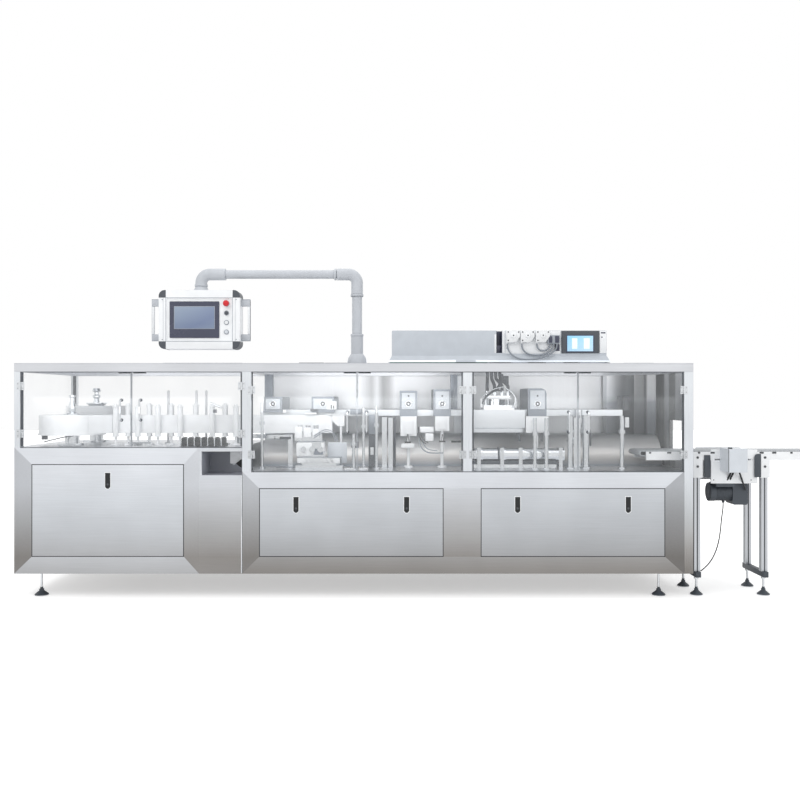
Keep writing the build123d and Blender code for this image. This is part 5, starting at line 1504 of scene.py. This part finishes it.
# %% Gear motor
motor_low, motor_high = span("conveyor_motor")
motor_level, motor_y = 650, -275
fin_count, fin_start, fin_pitch = 9, 1792, 10.5
fin = turned(((50, 0), (58.5, 0), (58.5, 2.6), (50, 2.6), (50, 0)), 36)
fan_slots = turned((
    (0, 0), (52, 0), (52, 1.2), (40, 1.2), (40, 0.4), (30, 0.4), (30, 1.2), (14, 1.2), (0, 1.2),
), 36)

fins = bmesh.new()
for index in range(fin_count):
    put(fins, fin, (fin_start + index * fin_pitch, motor_y, motor_level), "right")
put(fins, fan_slots, (motor_low.x - 0.2, motor_y, motor_level), "left")
for y in (motor_y - 45, motor_y + 45):
    for z in (motor_level - 60, motor_level + 45):
        put(fins, screw_head, (motor_high.x, y, z), "right")
make("motor_fins", fins, motor_paint, "motor_paint")

# %% [markdown]
# Three short black leads run from the gear cover down to the motor. The cover is bent
# sheet, with a dark line on its front left edge that paints the shade of its rounded
# corner, and a black knob that closes it.

# %% Leads, knob and painted shade line of the gear cover
lead_thickness = 11
leads = (
    ((1856, -402, 796), (1834, -346, 704)), ((1872, -402, 796), (1850, -346, 704)),
    ((1900, -402, 796), (1962, -348, 668)),
)
straps = bmesh.new()
for start, end in leads:
    rod(straps, start, end, lead_thickness, 1.5, 12)
make("cover_straps", straps, black_rubber, "black_rubber")

cover_low, cover_high = span("gear_cover")
knob_dome = turned(((0, 0), (13.4, 0), (13.6, 6), (12, 10.6), (7, 12.2), (0, 12.3)))
cover_details = bmesh.new()
shade_line_y, shade_line_z = (cover_low.y + 7, cover_low.y + 13), (cover_low.z + 3, cover_high.z - 15)
put(cover_details, knob_dome, (cover_low.x + 16, cover_low.y + 30, cover_high.z - 12))
bar(cover_details, (cover_low.x - 0.8, shade_line_y[0], shade_line_z[0]),
    (cover_low.x + 0.8, shade_line_y[1], shade_line_z[1]), 0.4, 1)
make("cover_knob_and_shade_line", cover_details, black_plastic, "black_plastic")

# %% [markdown]
# The levelling feet are dark cones round a threaded spindle, each on a bright rim.
# One outline serves the four feet of the cabinets, and a smaller one the legs of the
# conveyor. The cone is hollow round its spindle, so the frame's own foot fills it.

# %% Foot cones
cabinet_feet = ((-2528, -360), (-2528, 420), (1404, -360), (1404, 420))
cone = turned((
    (43, 5), (42.8, 9), (15, 31), (15, 41), (9, 43), (9, 52), (7.4, 53), (7.4, 40), (7.4, 5), (43, 5),
))
small_cone = turned((
    (39.4, 5), (39.2, 9), (13.4, 31), (13.4, 41), (9, 43), (9, 52), (7.4, 53), (7.4, 5), (39.4, 5),
))
cones = bmesh.new()
for x, y in cabinet_feet:
    put(cones, cone, (x, y, 0))
for x in leg_columns:
    for y in leg_rows:
        put(cones, small_cone, (x, y, 0))
make("foot_cones", cones, motor_paint, "black_rubber")

# %% [markdown]
# On the station shelf stand five drive heads. Each has a face plate with a bright
# ring round a bore, drawn as a dark disc that paints the shade inside the hole, and the
# tall ones a screw above it. A head is given by its left side, its width and how far
# it rises over the shelf.

# %% Drive head faces
head_places = ((-1140, 119, 86), (-827, 150, 88), (-246, 116, 126), (-24, 116, 136), (600, 122, 142))
heads_face = span("drive_heads")[0].y
head_front, head_back = heads_face - 3, heads_face + 12
face_margin, face_foot, face_top = 13, 5, 14
bore_rise, screw_rise, tall_head = 39, 92, 100
face_ring = turned(((15, 0), (22, 0), (22, 3), (18.5, 4.5), (15, 3), (15, 0)))
bore_shade_disc = turned(((0, 0), (15.5, 0), (15.5, 1.2), (0, 1.6)))
face_hub = turned(((0, 0), (6, 0), (6, 3.2), (4.5, 4), (0, 4)), 16)
face_screw = turned(((0, 0), (6, 0), (6, 2.2), (4.5, 3), (0, 3)), 16)

faces, rings, bore_shades_and_screws = bmesh.new(), bmesh.new(), bmesh.new()
for x_low, width, rise in head_places:
    middle = x_low + width / 2
    bar(faces, (x_low + face_margin, head_front, shelf_top + face_foot),
        (x_low + width - face_margin, head_back, shelf_top + rise - face_top), 2)
    put(rings, face_ring, (middle, head_front, shelf_top + bore_rise), "front")
    put(bore_shades_and_screws, bore_shade_disc, (middle, head_front, shelf_top + bore_rise), "front")
    put(rings, face_hub, (middle, head_front - 0.5, shelf_top + bore_rise), "front")
    if rise > tall_head:
        put(bore_shades_and_screws, face_screw, (middle, head_front, shelf_top + screw_rise), "front")
make("head_faces", faces, cover_paint, "brushed_steel")
make("head_rings", rings, chrome, "polished_steel")
make("head_bore_shades_and_screws", bore_shades_and_screws, dark_steel, "polished_steel")

# %% [markdown]
# The sealing bay lies behind the second pair of doors. Grey uprights stand before its
# back wall, and dark guide plates behind the rods keep the film in its path. They
# are plain milled plates, so each is a block with its edges broken, listed with what
# it is and its two corners.

# %% Uprights and guide plates
# The uprights are in the matt grey that also paints the shade at the back of the bay.
make("rear_uprights", blocks({
    "left wall column": ((-1172, 60, shelf_top), (-1117, 110, rails_foot - 1)),
    "right wall column": ((103, 60, shelf_top), (150, 110, rails_foot - 1)),
    "column edge": ((-1128, 52, 1340), (-1116, 60, 1402)),
    "beam end plate": ((-452, -141, 1018), (-410, -135, 1146)),
    "beam joint": ((-571, -192, 1148), (-499, -172, 1183)),
}, 2), grey_steel_and_painted_shade, "brushed_steel")
make("unit_bracket", blocks({
    "bracket beside the pull unit": ((-716, -232, 832), (-590, -226, 968)),
}, 2), cover_paint, "grey_paint")
make("guide_plates", blocks({
    "first guide": ((-452, -142, main_deck), (-406, -134, 1014)),
    "second guide": ((-314, -142, main_deck), (-272, -134, 1130)),
    "joint line": ((-497, -194, 1146), (-490, -172, 1185)),
    "head foot": ((-833, -189, 1168), (-783, -178, 1184)),
    "bracket window": ((-562, -232, 930), (-514, -226, 972)),
    "post stop": ((-1075, -150, 984), (-1068, -142, 1006)),
    "post clip": ((-1040, -152, 984), (-965, -146, 1000)),
}, 1.5), dark_grey_plastic, "black_plastic")

# %% [markdown]
# Small black clips hold the sensor leads under the sealing heads. White acetal blocks
# carry sensors and guide the film, and the soles of the guide rods stand on the bed.

# %% Clips and white blocks
make("sealing_clips", blocks({
    "right head clip": ((93, -198, 964), (156, -180, 976)),
    "left head clip": ((-214, -199, 960), (-172, -186, 970)),
    "middle clip": ((14, -199, 966), (54, -186, 976)),
    "tall pin": ((-699, -187, 1186), (-693, -183, 1212)),
    "short pin": ((-683, -187, 1186), (-677, -183, 1206)),
}, 1.0), black_plastic, "black_plastic")
make("white_blocks", blocks({
    "second head's sensor": ((-727, -184, 1180), (-662, -130, 1234)),
    "first head's stop": ((-1014, -190, 1158), (-992, -172, 1180)),
    "film guide between the heads": ((-112, -197, 1030), (-24, -186, 1068)),
    "sensor under it": ((-78, -193, 974), (-24, -184, 1024)),
    "left beam strip": ((-868, -190, 1148), (-792, -174, 1160)),
    "right beam strip": ((-724, -190, 1146), (-610, -174, 1152)),
    "left rod sole": ((-597, -345, main_deck), (-540, -322, main_deck + 9)),
    "right rod sole": ((-508, -345, main_deck), (-450, -322, main_deck + 9)),
    "rod stop": ((-440, -150, 880), (-418, -143, 930)),
    "jaw table strip": ((-236, -199, 930), (-150, -190, 958)),
}, 2.0), white_plastic, "white_plastic")

# %% [markdown]
# The pull unit draws the film on, and air drives it. Its front carries white valve
# blocks, and thin steel lines between them show where its plates meet.

# %% Valves of the pull unit
make("valve_blocks", blocks({
    "left valve": ((-922, -305, 996), (-874, -298, 1072)),
    "middle valve": ((-862, -305, 1004), (-816, -298, 1066)),
    "right valve": ((-806, -305, 996), (-762, -298, 1058)),
    "air inlet": ((-912, -305, 884), (-812, -298, 966)),
    "manifold": ((-906, -308, 836), (-630, -300, 868)),
    "outlet": ((-752, -304, 912), (-732, -298, 966)),
}, 3.0), white_plastic, "white_plastic")
make("valve_seams", blocks({
    "over the manifold": ((-908, -306, 873), (-616, -302, 878)),
    "under the manifold": ((-916, -306, 822), (-612, -300, 828)),
    "under the valves": ((-908, -303, 974), (-730, -300, 979)),
    "beside the inlet": ((-800, -303, 890), (-740, -300, 930)),
    "foot": ((-1040, -306, main_deck + 9), (-612, -300, main_deck + 14)),
}, 0.8), grey_steel_and_painted_shade, "polished_steel")

# %% [markdown]
# Two thin air lines arch over the pull unit, one 13 mm under the other, and two more
# hang in bows under the sealing heads, each with its black sensor leads. They are
# clamped at short distances, so they are bent pipes of a fixed shape.

# %% Air lines and sensor leads
line_spacing = 13
unit_line, head_line, thin_head_line = 5.5, 8, 6
head_lead, thick_lead, thin_lead = 4.5, 6, 5
head_middle_xs = (-193, 34)

air_lines = bmesh.new()
for drop in (0, line_spacing):
    pipe(air_lines, (
        (-800, -306, 1010 - drop), (-764, -314, 1034 - drop), (-724, -316, 1056 - drop),
        (-680, -314, 1044 - drop), (-654 - drop, -308, 1012), (-646 - drop, -300, 976),
    ), unit_line)
pipe(air_lines, (
    (-118, -199, 985), (-112, -206, 940), (-80, -208, 905), (-36, -206, 894), (40, -200, 896),
), head_line)
pipe(air_lines, (
    (-98, -199, 985), (-92, -206, 950), (-66, -208, 922), (-26, -206, 912), (0, -200, 912),
), thin_head_line)
make("air_lines", air_lines, grey_hose_rubber, "black_rubber")

sensor_leads = bmesh.new()
for x in head_middle_xs:
    for side in (-1, 1):
        pipe(sensor_leads, (
            (x + 2 * side, -190, 1018), (x + 4 * side, -202, 996), (x + 10 * side, -198, 966),
        ), head_lead, 8)
pipe(sensor_leads, (
    (-122, -190, 1066), (-122, -204, 1022), (-112, -206, 984), (-88, -204, 962), (-74, -196, 958),
), thick_lead)
pipe(sensor_leads, (
    (-108, -190, 1030), (-104, -204, 1000), (-88, -204, 978), (-60, -196, 962),
), thin_lead)
make("sensor_leads", sensor_leads, black_rubber, "black_rubber")

# %% [markdown]
# The filling bay lies behind the third pair of doors. A dark tube bends over the
# filling head from the left, and a wider one comes down from the roof to meet it. Two
# bright steel tubes run beside them. White clamps hold the tubes where they end.

# %% Tubes of the filling head
tubes = bmesh.new()
pipe(tubes, (
    (293, -128, 1196), (300, -134, 1228), (336, -140, 1276), (382, -140, 1308), (434, -132, 1304),
), 14)
pipe(tubes, ((440, -52, 1416), (446, -56, 1376), (420, -70, 1336), (404, -90, 1312)), 22)
make("filling_tubes", tubes, dark_grey_plastic, "black_rubber")

steel_tubes = bmesh.new()
pipe(steel_tubes, (
    (462, -120, 1320), (500, -132, 1294), (526, -136, 1252), (520, -134, 1216), (504, -128, 1190),
), 11)
pipe(steel_tubes, ((300, -126, 1262), (340, -136, 1300), (400, -138, 1322), (440, -126, 1330)), 7)
make("bright_tubes", steel_tubes, chrome, "polished_steel")

clamps = blocks({
    "tube holder": ((342, -122, 1248), (500, -112, 1259)),
    "beam end holder": ((1256, -112, 1060), (1282, -96, 1128)),
}, 2)
for x in (296, 522):
    rod(clamps, (x, -130, 1192), (x, -130, 1254), 19, 2)
make("tube_clamps", clamps, white_plastic, "white_plastic")

# %% [markdown]
# Dark plates stand behind the filling head, under the shelf and before the back wall.
# They paint the shadow in the gaps between the bright pieces, as dark lines from the front.

# %% Painted shadow plates of the filling bay
make("filling_shadow_plates", blocks({
    "behind the head": ((350, -98, 1186), (456, -92, 1246)),
    "behind the roof tube": ((450, -60, 1352), (486, -48, 1404)),
    "right of the rods": ((1012, -142, 940), (1024, -136, 1026)),
    "left of the rods": ((690, -142, 968), (704, -136, 1026)),
    "left wall strip": ((1262, 128, 1172), (1290, 138, 1272)),
    "right wall strip": ((1302, 128, 1172), (1340, 138, 1272)),
}, 2), dark_grey_plastic, "black_plastic")

# %% [markdown]
# The cross cylinder lies below the filling head. A dark strip under it paints its shadow,
# and a pale slab below that paints its reflection in the polished bed.
# Dark spun collars hold it, each on a short foot, and its bright neck at the left end
# is one turned part. A small dark wedge points down from the shelf beside it.

# %% Painted shadow and reflection under the cross cylinder
cylinder_y, cylinder_level = -220, 884
under_cylinder_x = (160, 772)
collar_places = (391, 700)
collar_ring = turned(
    ((44.2, 0), (50, 0), (51, 1.5), (51, 10), (50, 11.5), (44.2, 11.5), (44.2, 0)), 32
)
neck = turned((
    (44, 0), (44, 5), (34, 16), (24, 26), (20, 46), (21, 60), (26, 64), (26, 78), (0, 78), (0, 0),
    (44, 0),
), 32)

# The dark strip paints the shadow under the cylinder.
slide = blocks({"rail": ((under_cylinder_x[0], -264, 828), (under_cylinder_x[1], -254, 848))}, 2)
plate(slide, ((524, 1028), (548, 1028), (556, 970), (538, 970)), -144, -136, 1)
for x in collar_places:
    put(slide, collar_ring, (x, cylinder_y, cylinder_level), "right")
    bar(slide, (x + 1, -246, main_deck + 1), (x + 11, -196, main_deck + 45), 1.5)
make("collars_and_painted_shadow", slide, motor_paint, "black_plastic")
# The pale slab paints the cylinder's reflection in the polished bed.
painted_reflection_slab = blocks({
    "base": ((under_cylinder_x[0], -264, main_deck + 1), (under_cylinder_x[1], -250, main_deck + 28)),
}, 4)
make("painted_reflection_slab", painted_reflection_slab, white_plastic, "white_plastic")
bright_neck = bmesh.new()
put(bright_neck, neck, (248, cylinder_y, cylinder_level), "left")
make("cylinder_neck", bright_neck, chrome, "polished_steel")

# %% [markdown]
# A bent grey rod hangs from the shelf towards the outfeed. It is one pipe along five
# points, each a little further to the left.

# %% Bent rod
bent = bmesh.new()
pipe(bent, (
    (937, -172, 1128), (938, -174, 1076), (932, -174, 1034), (918, -174, 986), (896, -172, 942),
), 13)
make("bent_rod", bent, grey_steel_and_painted_shade, "polished_steel")

# %% [markdown]
# The infeed bay lies behind the first pair of doors. It has a thin tray and a plate
# under the film, a row of chrome pins of two heights before the grippers, a short
# swing arm and two studs.

# %% Bright parts of the infeed bay
pin_count, pin_start, pin_pitch, pin_y = 7, -1640, 43, -366
pin_foot, pin_top, pin_step = infeed_deck + 2, infeed_deck + 52, 6

pins = blocks({
    "tray": ((-2011, -262, 966), (-1858, -220, 973)),
    "plate under the roll": ((-2440, -330, infeed_deck + 4), (-2330, -300, infeed_deck + 9)),
}, 1.5)
for index in range(pin_count):
    x, top = pin_start + index * pin_pitch, pin_top + pin_step * (index % 2)
    rod(pins, (x, pin_y, pin_foot), (x, pin_y, top), 7, 1, 12)
rod(pins, (-1477, -262, 1224), (-1400, -262, 1192), 13, 2)
for x, top in ((-1990, 1020), (-1880, 1000)):
    rod(pins, (x, -250, 973), (x, -250, top), 9, 1)
make("infeed_pins", pins, chrome, "polished_steel")

# %% [markdown]
# Dark parts of the same bay: the seal of the rear window, a stop beside the roll, a
# small clamp on one rod, the tray's edge, and the lead of the film sensor.

# %% Dark parts of the infeed bay
dark_parts = blocks({
    "window seal": ((-2634, 460, infeed_deck + 14), (-2612, 469.6, rails_foot - 1)),
    "roll stop": ((-2590, -212, 984), (-2556, -190, 1016)),
    "rod clamp": ((-1457, -264, 1160), (-1436, -238, 1182)),
    "tray edge": ((-2010, -263, 962), (-1860, -258, 966)),
}, 1.5)
pipe(dark_parts, (
    (-2540, -300, 972), (-2470, -302, 990), (-2400, -302, 1006), (-2345, -300, 1012),
), 6)
make("infeed_dark_parts", dark_parts, dark_grey_plastic, "black_plastic")

# %% [markdown]
# Thin trims lie on the roof: dark seals over the middle post and round the foot of
# the arm, and two satin strips along the front edge.

# %% Roof trims
roof_level = roof_top - 0.5
front_strip_y, arm_seal_y = (-446, -430), (-346, -196)
make("roof_seals", blocks({
    "left front seal": ((-878, front_strip_y[0], roof_level), (-722, front_strip_y[1], 1478)),
    "right front seal": ((-718, front_strip_y[0], roof_level), (-562, front_strip_y[1], 1477)),
    "left arm seal": ((-602, arm_seal_y[0], roof_level), (-590, arm_seal_y[1], 1480)),
    "right arm seal": ((-454, arm_seal_y[0], roof_level), (-442, arm_seal_y[1], 1480)),
}, 1.0), dark_grey_plastic, "black_rubber")
make("roof_trims", blocks({
    "left strip": ((-1733, front_strip_y[0], roof_level), (-1236, front_strip_y[1], 1476.5)),
    "right strip": ((1163, front_strip_y[0], roof_level), (1349, front_strip_y[1], 1476.5)),
}, 1.0), satin, "polished_steel")
